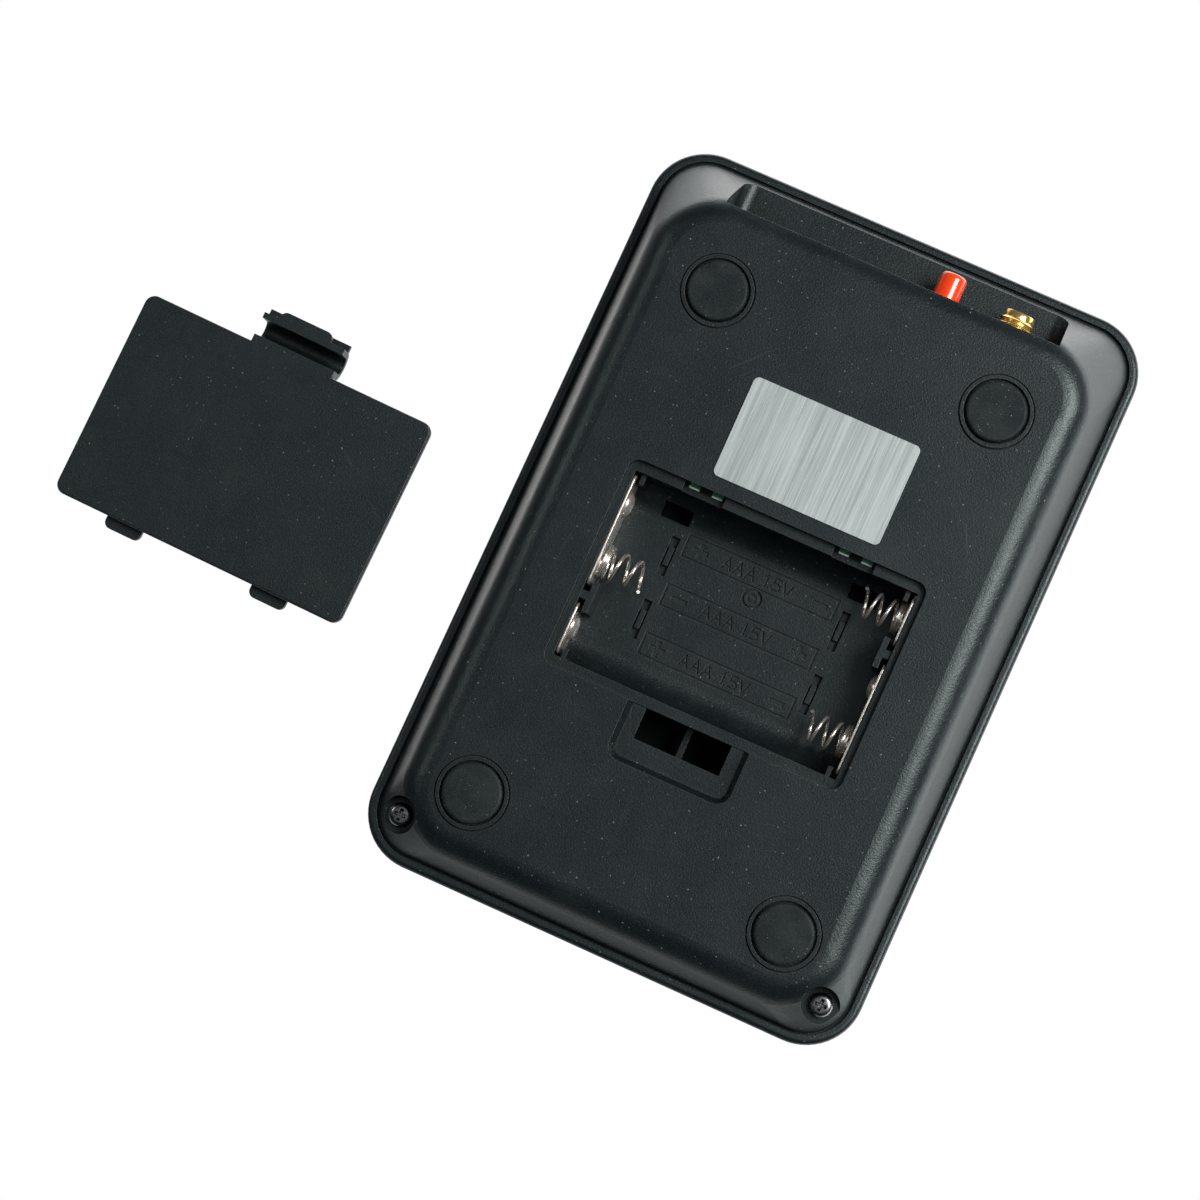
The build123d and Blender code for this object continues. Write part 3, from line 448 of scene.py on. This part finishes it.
def add_cross_head(shape, radius, height, place):
    """Adds a pan head with a cross recess: its seat is level with the origin and it faces +Z."""
    part = bmesh.new()
    arm, half = 0.50 * radius, 0.14 * radius
    corners = []
    for quarter in range(4):
        turn = Matrix.Rotation(quarter * pi / 2, 3, "Z")
        corners += [turn @ Vector((x, y, height)) for x, y in ((arm, -half), (arm, half), (half, half))]
    cross = [part.verts.new(corner) for corner in corners]
    mouth = [part.edges.new(pair) for pair in zip(cross, cross[1:] + cross[:1])]
    ring = bmesh.ops.create_circle(part, cap_ends=False, radius=0.62 * radius, segments=36)["verts"]
    bmesh.ops.translate(part, vec=(0, 0, height), verts=ring)
    rim = list({edge for vert in ring for edge in vert.link_edges})
    bmesh.ops.triangle_fill(part, edges=mouth + rim, use_beauty=True, normal=(0, 0, 1))
    for scale, drop in ((1.30, 0.08), (1.16, 0.20), (1.07, 0.30), (1.0, 0.42)):
        raised = bmesh.ops.extrude_edge_only(part, edges=rim)["geom"]
        ring = [item for item in raised if isinstance(item, bmesh.types.BMVert)]
        rim = [item for item in raised if isinstance(item, bmesh.types.BMEdge)]
        bmesh.ops.scale(part, vec=(scale, scale, 1), verts=ring)
        bmesh.ops.translate(part, vec=(0, 0, -drop * height), verts=ring)
    sunk = bmesh.ops.extrude_edge_only(part, edges=mouth)["geom"]
    floor = [item for item in sunk if isinstance(item, bmesh.types.BMVert)]
    bmesh.ops.scale(part, vec=(0.6, 0.6, 1), verts=floor)
    bmesh.ops.translate(part, vec=(0, 0, -0.55 * height), verts=floor)
    bmesh.ops.edgeloop_fill(part, edges=[item for item in sunk if isinstance(item, bmesh.types.BMEdge)])
    bmesh.ops.recalc_face_normals(part, faces=part.faces)
    bmesh.ops.transform(part, matrix=place, verts=part.verts)
    join(shape, part)


def wire_shape(points, radius, smooth=3):
    """Bmesh of a round wire that follows a smooth curve."""
    curve = bpy.data.curves.new("scrap", "CURVE")
    curve.dimensions = "3D"
    curve.bevel_depth, curve.bevel_resolution = radius, smooth
    curve.resolution_u = 4
    curve.use_fill_caps = True
    line = curve.splines.new("NURBS")
    line.points.add(len(points) - 1)
    for spot, point in zip(line.points, points):
        spot.co = (*point, 1)
    line.order_u = 3
    line.use_endpoint_u = True
    return curve_to_shape(curve)


def curve_to_shape(curve):
    """Bmesh of a curve or text, which is removed."""
    holder = bpy.data.objects.new("scrap", curve)
    bpy.context.scene.collection.objects.link(holder)
    bpy.context.view_layer.update()
    mesh = bpy.data.meshes.new_from_object(holder.evaluated_get(bpy.context.evaluated_depsgraph_get()))
    shape = bmesh.new()
    shape.from_mesh(mesh)
    bmesh.ops.remove_doubles(shape, verts=shape.verts, dist=1e-7)
    bpy.data.objects.remove(holder)
    bpy.data.curves.remove(curve)
    bpy.data.meshes.remove(mesh)
    return shape


def text_shape(text, size, thickness):
    """Bmesh of flat centred text, drawn in the XY plane."""
    curve = bpy.data.curves.new("scrap", "FONT")
    curve.body, curve.size, curve.extrude = text, size, thickness / 2
    curve.align_x, curve.align_y = "CENTER", "CENTER"
    curve.resolution_u = 3
    return curve_to_shape(curve)


def along(axis, x, y, z):
    """Matrix that carries +Z to an axis of the object and the origin to a point in millimetres."""
    turn = Vector(axis).to_track_quat("Z", "Y").to_matrix().to_4x4()
    return Matrix.Translation((x * MM, y * MM, z * MM)) @ turn


# ------------------------------------------------------------------ stage
class PAGER_OT_stage(Operator):
    """Camera, floor, world and lamps"""
    bl_idname = "pager.stage"
    bl_label = "Stage"

    # camera: where it stands, and its right and forward directions
    CAMERA = (-0.04066, -0.04087, -0.62444)
    RIGHT = (-0.90931, 0.40975, 0.07256)
    AHEAD = (0.09956, 0.04492, 0.99402)
    # lamps: name, place, width, power, whether surfaces mirror them
    LAMPS = (("lamp low right", (-0.430, 0.230, -0.625), 0.42, 7.00, True),
             ("lamp low left", (0.56, 0.04, -0.47), 0.20, 0.45, True),
             ("lamp low back", (-0.12, 0.46, -0.50), 0.40, 0.40, False),
             ("lamp high back", (0.05, 0.62, 0.60), 0.60, 1.30, True),
             ("lamp high front", (-0.35, -0.55, 0.75), 0.55, 1.50, True),
             ("lamp high side", (0.50, -0.10, 0.75), 0.50, 1.10, True))
    LAMP_AIM = (0.02, 0, 0.01)
    LAMP_COLOUR = (1.0, 0.95, 0.93)
    FLOOR_HALF = 3.0       # half the floor's width, in metres
    FLOOR_DROP = 0.2 * MM  # keeps the floor just clear of the feet

    def execute(self, context):
        look = context.scene.pager_stage
        camera = bpy.data.objects.new("camera", bpy.data.cameras.new("camera"))
        context.scene.collection.objects.link(camera)
        camera.data.lens = look.lens
        camera.data.clip_start = 0.01
        right, ahead = Vector(self.RIGHT), Vector(self.AHEAD)
        turn = Matrix((right, right.cross(ahead), -ahead)).transposed().to_4x4()
        camera.matrix_world = Matrix.Translation(self.CAMERA) @ turn
        context.scene.camera = camera
        self.make_floor(context, look)
        self.make_world(context, look)
        self.make_lamps(context)
        context.scene.view_settings.view_transform = "Standard"
        return {"FINISHED"}

    def make_floor(self, context, look):
        shape = bmesh.new()
        bmesh.ops.create_grid(shape, x_segments=1, y_segments=1, size=self.FLOOR_HALF)
        bmesh.ops.translate(shape, vec=(0, 0, -self.FLOOR_DROP), verts=shape.verts)
        mesh = bpy.data.meshes.new("floor")
        shape.to_mesh(mesh)
        shape.free()
        floor = bpy.data.objects.new("floor", mesh)
        context.scene.collection.objects.link(floor)
        material = bpy.data.materials.new("pale floor")
        material.use_nodes = True
        tree = material.node_tree
        tree.nodes.clear()
        speckle = add_node(tree, "ShaderNodeTexNoise", {"Scale": 40.0, "Detail": 4.0})
        shade = blend_colours(tree, remap(tree, speckle.outputs[0], 0.3, 0.7), look.floor,
                              tuple(value * 0.985 for value in look.floor[:3]) + (1,))
        matt = add_node(tree, "ShaderNodeBsdfDiffuse", {"Color": shade})
        clear = add_node(tree, "ShaderNodeBsdfTransparent")
        # a path that has come up through the floor may leave through it again, any other stays above
        passed = add_node(tree, "ShaderNodeLightPath").outputs["Transparent Depth"]
        above = maths(tree, "LESS_THAN", passed, 0.5)
        back = add_node(tree, "ShaderNodeNewGeometry").outputs["Backfacing"]
        front = maths(tree, "SUBTRACT", 1.0, back)
        mix = add_node(tree, "ShaderNodeMixShader", {0: maths(tree, "MULTIPLY", above, front),
                                                     1: clear.outputs[0], 2: matt.outputs[0]})
        add_node(tree, "ShaderNodeOutputMaterial", {0: mix.outputs[0]})
        mesh.materials.append(material)

    def make_world(self, context, look):
        world = bpy.data.worlds.new("studio")
        context.scene.world = world
        world.use_nodes = True
        tree = world.node_tree
        tree.nodes.clear()
        path = add_node(tree, "ShaderNodeLightPath").outputs
        direction = add_node(tree, "ShaderNodeTexCoord").outputs["Generated"]
        parts = add_node(tree, "ShaderNodeSeparateXYZ", {0: direction}).outputs
        # what surfaces mirror: softboxes towards -X and +Y, a weaker one towards -Y and a dark screen
        # towards +X
        across = maths(tree, "SUBTRACT", maths(tree, "MULTIPLY", parts[1], 0.8),
                       maths(tree, "MULTIPLY", parts[0], 0.6))
        boxes = maths(tree, "ADD", remap(tree, across, -0.50, 0.35, 0.12, 3.0),
                      remap(tree, parts[1], -0.35, -0.80, 0.0, 0.8))
        sheen = maths(tree, "MULTIPLY", remap(tree, parts[2], -0.10, 0.38, 0.01, 1.0), boxes)
        sheen = maths(tree, "MULTIPLY", sheen, remap(tree, parts[2], 0.50, 0.75, 1.0, 0.35))
        # a pale card straight below, for the surfaces that face the first camera
        card = maths(tree, "MULTIPLY", remap(tree, parts[2], -0.92, -0.985, 0.0, 0.34),
                     remap(tree, across, -0.15, 0.20, 0.60, 1.65))
        sheen = maths(tree, "ADD", sheen, card)
        mirrored = maths(tree, "MAXIMUM", path["Is Glossy Ray"], path["Is Transmission Ray"])
        # even light: weak and one-sided below the horizon, strong above it
        soft = remap(tree, across, -0.7, 0.7, 0.35 * look.ambient, 1.65 * look.ambient)
        soft = add_node(tree, "ShaderNodeMix", {0: remap(tree, parts[2], -0.05, 0.15), 2: soft, 3: 0.85},
                        data_type="FLOAT").outputs[0]
        level = add_node(tree, "ShaderNodeMix", {0: mirrored, 2: soft, 3: sheen}, data_type="FLOAT")
        shown = add_node(tree, "ShaderNodeMix", {0: path["Is Camera Ray"], 2: level.outputs[0], 3: 1.0},
                         data_type="FLOAT")
        light = add_node(tree, "ShaderNodeBackground", {"Color": (1, 1, 1, 1), "Strength": shown.outputs[0]})
        add_node(tree, "ShaderNodeOutputWorld", {0: light.outputs[0]})

    def make_lamps(self, context):
        for name, place, size, power, mirrored in self.LAMPS:
            lamp = bpy.data.lights.new(name, "AREA")
            lamp.shape, lamp.size, lamp.energy = "SQUARE", size, power
            lamp.color = self.LAMP_COLOUR
            holder = bpy.data.objects.new(name, lamp)
            holder.location = place
            aim = Vector(self.LAMP_AIM) - Vector(place)
            holder.rotation_euler = aim.to_track_quat("-Z", "Y").to_euler()
            holder.visible_camera = False
            holder.visible_glossy = mirrored
            context.scene.collection.objects.link(holder)


# ------------------------------------------------------------------ pieces
class PAGER_OT_housing(Operator):
    """Both shells of the housing, with the bars across the tongue slots"""
    bl_idname = "pager.housing"
    bl_label = "Housing"

    # bars in each slot: ends along X from the slot's middle, then the ends that all share along Y and Z
    BARS = ((-3.68, -3.1), (-1.15, 1.0), (2.95, 3.68))
    BAR_Y = (10.72, 13.35)
    BAR_Z = (4.45, 4.95)

    def execute(self, context):
        look = context.scene.pager_shell
        # the shells take painted shade in their crevices and recesses
        shell = plastic("housing plastic", look.colour, look.roughness, grain=look.grain, dust=look.dust,
                        scratches=0.25, painted_shade=0.9)
        dress(["rear_shell", "front_shell"], shell)
        shade = plastic("unlit plastic", (0.0035, 0.0042, 0.0045, 1), 0.7, dust=0.1, shine=0.2)
        bars = bmesh.new()
        for side in (-1, 1):
            middle = side * SLOT_X
            for low_x, high_x in self.BARS:
                corners = in_mm(((middle + low_x, self.BAR_Y[0], self.BAR_Z[0]),
                                 (middle + high_x, self.BAR_Y[1], self.BAR_Z[1])))
                add_block(bars, *corners, bevel=0.1 * MM)
        finish_piece(bars, "slot_bars", HOUSING, shade)
        return {"FINISHED"}


class PAGER_OT_door(Operator):
    """Battery door"""
    bl_idname = "pager.door"
    bl_label = "Battery door"

    def execute(self, context):
        look = context.scene.pager_shell
        # the door takes painted shade in its crevices and recesses
        door = plastic("door plastic", look.colour, look.roughness + 0.08, grain=look.grain * 1.4,
                       dust=look.dust * 0.8, scratches=0.2, painted_shade=0.8)
        dress(["battery_cover"], door)
        return {"FINISHED"}


class PAGER_OT_underside(Operator):
    """Rubber feet, name plate and housing screws"""
    bl_idname = "pager.underside"
    bl_label = "Underside"

    # profiles as (radius, height) in millimetres
    FOOT = ((0, 0), (4.5, 0), (4.6, 0), (4.86, 0.05), (5.03, 0.2), (5.1, 0.45), (5.1, 1.8), (0, 1.8))
    SHANK = ((2.1, 0), (1.35, 0), (1.35, -7.4), (0.7, -8.5), (0, -8.5))

    def execute(self, context):
        metal = context.scene.pager_metal
        rubber = plastic("foot rubber", (0.0040, 0.0078, 0.0092, 1), 0.55, grain=0.3, grains=1.8, dust=0.8,
                         specks=2.4, film=0.04, shine=0.25)
        for number, (x, y) in enumerate(FEET, 1):
            foot = bmesh.new()
            add_lathe(foot, in_mm(self.FOOT), along((0, 0, 1), x, y, 0))
            finish_piece(foot, f"foot_pad_{number}", HOUSING, rubber, [f"foot_{number}"])
        plate = bright_metal("brushed plate", metal.plate, 0.36, (2.6, 0.05, 2.6), depth=0.35, contrast=0.2,
                             metallic=0.3)
        dress(["rating_plate"], plate)
        black = bright_metal("black steel", (0.26, 0.28, 0.29, 1), 0.27, depth=0.05, contrast=0.1)
        screws = bmesh.new()
        for x, y in SCREWS:
            down = along((0, 0, -1), x, y, SCREW_SEAT_Z)
            add_cross_head(screws, 2.1 * MM, 1.6 * MM, down)
            add_lathe(screws, in_mm(self.SHANK), down, steps=36)
        finish_piece(screws, "housing_screw_set", HOUSING, black, ["housing_screws"])
        return {"FINISHED"}


class PAGER_OT_contacts(Operator):
    """Contact plates and springs of the battery bay"""
    bl_idname = "pager.contacts"
    bl_label = "Battery contacts"

    # side of the bay, ends along Y, rows with a dome
    PLATES = {"contact_positive": (1, (-23.4, -14.3), (-18.3,)),
              "contact_negative": (-1, (0.3, 8.9), ()),
              "contact_link_rear": (1, (-10.9, 9.0), (4.1,)),
              "contact_link_front": (-1, (-23.0, -3.2), (-7.1,))}
    PLATE_Z = (3.1, 12.9)
    # dome of a plate, as (radius, height)
    DOME = ((2.3, -0.05), (2.22, 0.22), (1.95, 0.55), (1.5, 0.84), (0.9, 1.03), (0.4, 1.09), (0, 1.1))
    # side of the bay and place along Y
    SPRINGS = {"battery_spring_1": (-1, 5.1), "battery_spring_2": (1, -6.1), "battery_spring_3": (-1, -17.3)}

    def execute(self, context):
        metal = context.scene.pager_metal
        nickel = bright_metal("nickel", metal.nickel, 0.26, (1, 0.1, 0.6), depth=0.0, contrast=0.05, edge=0,
                              metallic=0.85)
        wire = bright_metal("spring wire", metal.nickel, 0.22, (0.3, 0.3, 0.3), depth=0.0, contrast=0.03,
                            edge=0, metallic=0.9)
        for node, (side, (low_y, high_y), domes) in self.PLATES.items():
            plate = bmesh.new()
            low_z, high_z = self.PLATE_Z
            corners = in_mm(((low_z, low_y), (high_z, low_y), (high_z, high_y), (low_z, high_y)))
            # the plate is drawn with its height along X, then stood up at its end of the bay
            upright = Matrix(((0, 0, side, side * PLATE_X * MM), (0, 1, 0, 0), (1, 0, 0, 0), (0, 0, 0, 1)))
            add_plate(plate, corners, 1.1 * MM, 0, 0.4 * MM, upright, bevel=0.1 * MM)
            for row in domes:
                place = along((-side, 0, 0), side * PLATE_X, row, CELL_Z)
                add_lathe(plate, in_mm(self.DOME), place, steps=48)
            for ends in self.tabs(node):
                add_block(plate, *in_mm(ends), bevel=0.06 * MM)
            bmesh.ops.recalc_face_normals(plate, faces=plate.faces)
            finish_piece(plate, node + "_plate", HOUSING, nickel, [node])
        for node, (side, row) in self.SPRINGS.items():
            spring = wire_shape(self.coil(side, row), 0.3 * MM)
            finish_piece(spring, node + "_coil", HOUSING, wire, [node], angle=60)
        return {"FINISHED"}

    def tabs(self, node):
        """Opposite corners of the soldering tabs on the two plates that carry the supply."""
        if node == "contact_positive":
            return [((25.3, -19.3, 9.0), (28.6, -17.3, 9.4))]
        if node == "contact_negative":
            return [((-25.5, 8.7, 8.0), (-25.1, 12.7, 10.0)), ((-25.5, 11.7, 6.2), (-25.1, 12.7, 8.2))]
        return []

    def coil(self, side, row):
        """Points of a spring: close turns on its plate, then open ones that narrow towards the cell."""
        points = []
        close, turns, steps = 2.0, 4.4, 20
        for step in range(int(turns * steps) + 1):
            turn = step / steps
            reach = 0.3 + 0.55 * min(turn, close) + 2.65 * max(turn - close, 0)
            radius = (2.85 - 0.10 * turn) / cos(pi / steps)
            angle = 2 * pi * turn + 0.8
            points.append((side * (PLATE_X - reach) * MM, (row + side * radius * cos(angle)) * MM,
                           (CELL_Z + radius * sin(angle)) * MM))
        return points


class PAGER_OT_connectors(Operator):
    """Antenna connector, power inlet and power button"""
    bl_idname = "pager.connectors"
    bl_label = "Connectors"

    THREAD_CRESTS = (58.65, 57.75, 56.85)
    # tip of the button, as (radius, place along Y)
    BUTTON_TIP = ((0, 53.5), (2.3, 53.5), (2.3, 61.15), (2.24, 61.5), (2.05, 61.8), (1.75, 61.96),
                  (1.45, 62.0), (0.9, 61.9), (0, 61.86))

    def execute(self, context):
        metal = context.scene.pager_metal
        pad = context.scene.pager_keypad
        gold = bright_metal("gold plating", metal.gold, 0.18, depth=0.0, contrast=0.04, edge=0,
                            metallic=0.85)
        dress(["antenna_contact", "dc_pin"], gold)
        jack = bmesh.new()
        body = in_mm(((JACK_X - 3.75, 45.0, CONNECTOR_Z - 3.8), (JACK_X + 3.75, 52.5, CONNECTOR_Z + 3.8)))
        add_block(jack, *body, bevel=0.3 * MM)
        profile = [(2.3, 46.0), (2.3, 60.0), (2.4, 60.2), (2.52, 60.2), (2.62, 60.05), (2.62, 59.2)]
        for crest in self.THREAD_CRESTS:
            profile += [(2.62, crest + 0.40), (3.02, crest + 0.10), (3.1, crest), (3.02, crest - 0.10),
                        (2.62, crest - 0.40)]
        profile += [(2.62, 56.2), (2.7, 56.0), (2.7, 52.5)]
        add_lathe(jack, in_mm(profile), along((0, 1, 0), JACK_X, 0, CONNECTOR_Z), steps=96)
        finish_piece(jack, "antenna_socket", HOUSING, gold, ["antenna_jack"])
        white = plastic("white insulator", (0.78, 0.77, 0.72, 1), 0.4, grain=0.05, dust=0.1)
        dress(["antenna_insulator"], white)
        black = plastic("black resin", (0.012, 0.012, 0.013, 1), 0.4, grain=0.08, dust=0.2)
        dress(["dc_power_jack", "power_switch"], black)
        red = plastic("red gloss", pad.power, 0.14, grain=0.015, grains=0.6, dust=0.12, edge_wear_and_highlight=0.35,
                      shine=0.9)
        button = bmesh.new()
        add_lathe(button, in_mm(self.BUTTON_TIP), along((0, 1, 0), BUTTON_X, 0, CONNECTOR_Z), steps=96)
        stem = in_mm(((BUTTON_X - 1.5, 47.0, CONNECTOR_Z - 1.5), (BUTTON_X + 1.5, 54.0, CONNECTOR_Z + 1.5)))
        add_block(button, *stem, bevel=0.25 * MM)
        finish_piece(button, "power_button_cap", "power_button", red, ["power_button"])
        return {"FINISHED"}


class PAGER_OT_inside(Operator):
    """Boards and what stands on them"""
    bl_idname = "pager.inside"
    bl_label = "Inside"

    PADS_X = (-15.73, -11.63, 11.47, 15.57)    # solder pads that show in the tongue slots
    PAD_HALF = 0.95

    def execute(self, context):
        board = plastic("green board", (0.006, 0.21, 0.085, 1), 0.3, grain=0.05, dust=0.1)
        dress(["main_board"], board)
        dark = plastic("dark board", (0.003, 0.004, 0.004, 1), 0.8, grain=0.05, dust=0.05, shine=0.1)
        dress(["keypad_board"], dark)
        solder = plastic("pale solder", (0.75, 0.77, 0.74, 1), 0.3, grain=0.05, dust=0.1, edge=0.03)
        pads = bmesh.new()
        for x in self.PADS_X:
            corners = in_mm(((x - self.PAD_HALF, 10.78, 4.90), (x + self.PAD_HALF, 11.10, 5.02)))
            add_block(pads, *corners, bevel=0.02 * MM)
        finish_piece(pads, "board_edge_pads", HOUSING, solder)
        dress(["board_link", "buzzer", "control_chip"], materials["black resin"])
        zinc = bright_metal("zinc plating", (0.6, 0.6, 0.6, 1), 0.3)
        dress(["main_board_screws", "keypad_board_screws", "radio_shield"], zinc)
        mat = plastic("mat rubber", (0.42, 0.42, 0.40, 1), 0.6, dust=0.1)
        dress(["keypad_mat"], mat)
        sleeve = plastic("red sleeve", (0.5, 0.012, 0.01, 1), 0.35, grain=0.02, dust=0.1)
        dress(["battery_lead"], sleeve)
        return {"FINISHED"}


class PAGER_OT_keypad(Operator):
    """Keys with their marks, display and status light"""
    bl_idname = "pager.keypad"
    bl_label = "Keypad and display"

    MARKS = ("1", "2", "3", "+", "4", "5", "6", "-", "7", "8", "9", "×", "*", "0", "#", "↵")
    # segments of a digit: place from its centre, and whether the segment stands upright
    SEGMENTS = ((0, 3.9, 0), (0, -3.9, 0), (0, 0, 0), (-2.05, 1.95, 1), (2.05, 1.95, 1), (-2.05, -1.95, 1),
                (2.05, -1.95, 1))

    def execute(self, context):
        pad = context.scene.pager_keypad
        cap = plastic("key cap", pad.key, 0.46, grain=0.12, dust=0.2, film=0.05, edge_wear_and_highlight=0.2)
        ink = plastic("key ink", pad.mark, 0.4, grain=0.05, dust=0.1, edge=0.03)
        for number, mark in enumerate(self.MARKS):
            row, column = divmod(number, 4)
            key = f"key_{number + 1:02d}"
            dress([key], cap)
            size = pad.mark_height * (1.0 if mark.isalnum() else 1.15)
            shape = text_shape(mark, size, 0.06 * MM)
            low = Vector([min(vert.co[axis] for vert in shape.verts) for axis in range(3)])
            high = Vector([max(vert.co[axis] for vert in shape.verts) for axis in range(3)])
            middle = (low + high) / 2
            place = Vector((KEY_PITCH[0] * (column - 1.5) * MM,
                            (KEY_BLOCK_Y + KEY_PITCH[1] * (1.5 - row)) * MM, KEY_TOP))
            bmesh.ops.translate(shape, vec=place - middle, verts=shape.verts)
            bmesh.ops.transform(shape, matrix=FACE, verts=shape.verts)
            finish_piece(shape, f"key_mark_{number + 1:02d}", key, ink)
        face = plastic("display face", (0.010, 0.010, 0.011, 1), 0.5, dust=0.0)
        dress(["display_module"], face)
        unlit = plastic("unlit segment", (0.34, 0.31, 0.30, 1), 0.5, dust=0.0, edge=0.05)
        segments = bmesh.new()
        for digit in range(4):
            centre = Vector(((digit - 1.5) * DIGIT_PITCH, DISPLAY_Y))
            for x, y, upright in self.SEGMENTS:
                reach = (0.5, 1.65) if upright else (1.65, 0.5)
                low = Vector((centre.x + x - reach[0], centre.y + y - reach[1], SEGMENT_Z[0])) * MM
                high = Vector((centre.x + x + reach[0], centre.y + y + reach[1], SEGMENT_Z[1])) * MM
                add_block(segments, low, high, bevel=0.03 * MM, segments=1)
            dot_x, dot_y = centre.x + 3.6, centre.y - 4.0
            corners = in_mm(((dot_x - 0.5, dot_y - 0.5, SEGMENT_Z[0]),
                             (dot_x + 0.5, dot_y + 0.5, SEGMENT_Z[1])))
            add_block(segments, *corners, bevel=0.03 * MM, segments=1)
        bmesh.ops.transform(segments, matrix=FACE, verts=segments.verts)
        finish_piece(segments, "display_segments", HOUSING, unlit)
        tree, shader = new_material("display lens", Roughness=0.05, IOR=1.49)
        shader.inputs["Base Color"].default_value = (0.10, 0.012, 0.010, 1)
        shader.inputs["Transmission Weight"].default_value = 0.85
        spread = add_node(tree, "ShaderNodeTexCoord").outputs["Object"]
        smudge = add_node(tree, "ShaderNodeTexNoise", {"Vector": spread, "Scale": 90.0, "Detail": 5.0})
        tree.links.new(remap(tree, smudge.outputs[0], 0.4, 0.75, 0.04, 0.14), shader.inputs["Roughness"])
        dress(["display_lens"], materials["display lens"])
        led = plastic("green light", (0.05, 0.5, 0.08, 1), 0.25, dust=0.0)
        dress(["status_led"], led)
        return {"FINISHED"}


class PAGER_PT_panel(Panel):
    """Lists the pieces of the keypad"""
    bl_idname = "PAGER_PT_panel"
    bl_label = "Pager keypad"
    bl_space_type = "VIEW_3D"
    bl_region_type = "UI"
    bl_category = "Pager"

    def draw(self, context):
        for kind in PIECES:
            self.layout.operator(kind.bl_idname)
        for look in LOOKS:
            self.layout.label(text=look.replace("pager_", "").capitalize())
            for key in LOOKS[look].__annotations__:
                self.layout.prop(getattr(context.scene, look), key)


PIECES = (PAGER_OT_stage, PAGER_OT_housing, PAGER_OT_door, PAGER_OT_underside, PAGER_OT_contacts,
          PAGER_OT_connectors, PAGER_OT_inside, PAGER_OT_keypad)
LOOKS = {"pager_shell": ShellLook, "pager_metal": MetalLook, "pager_keypad": KeypadLook,
         "pager_stage": StageLook}


def register():
    for kind in (*LOOKS.values(), *PIECES, PAGER_PT_panel):
        bpy.utils.register_class(kind)
    for name, look in LOOKS.items():
        setattr(bpy.types.Scene, name, PointerProperty(type=look))


def unregister():
    for name in LOOKS:
        delattr(bpy.types.Scene, name)
    for kind in reversed((*LOOKS.values(), *PIECES, PAGER_PT_panel)):
        bpy.utils.unregister_class(kind)


def main():
    register()
    bpy.ops.pager.stage()
    bpy.ops.pager.housing()
    bpy.ops.pager.door()
    bpy.ops.pager.underside()
    bpy.ops.pager.contacts()
    bpy.ops.pager.connectors()
    bpy.ops.pager.inside()
    bpy.ops.pager.keypad()


if __name__ == "__main__":
    main()
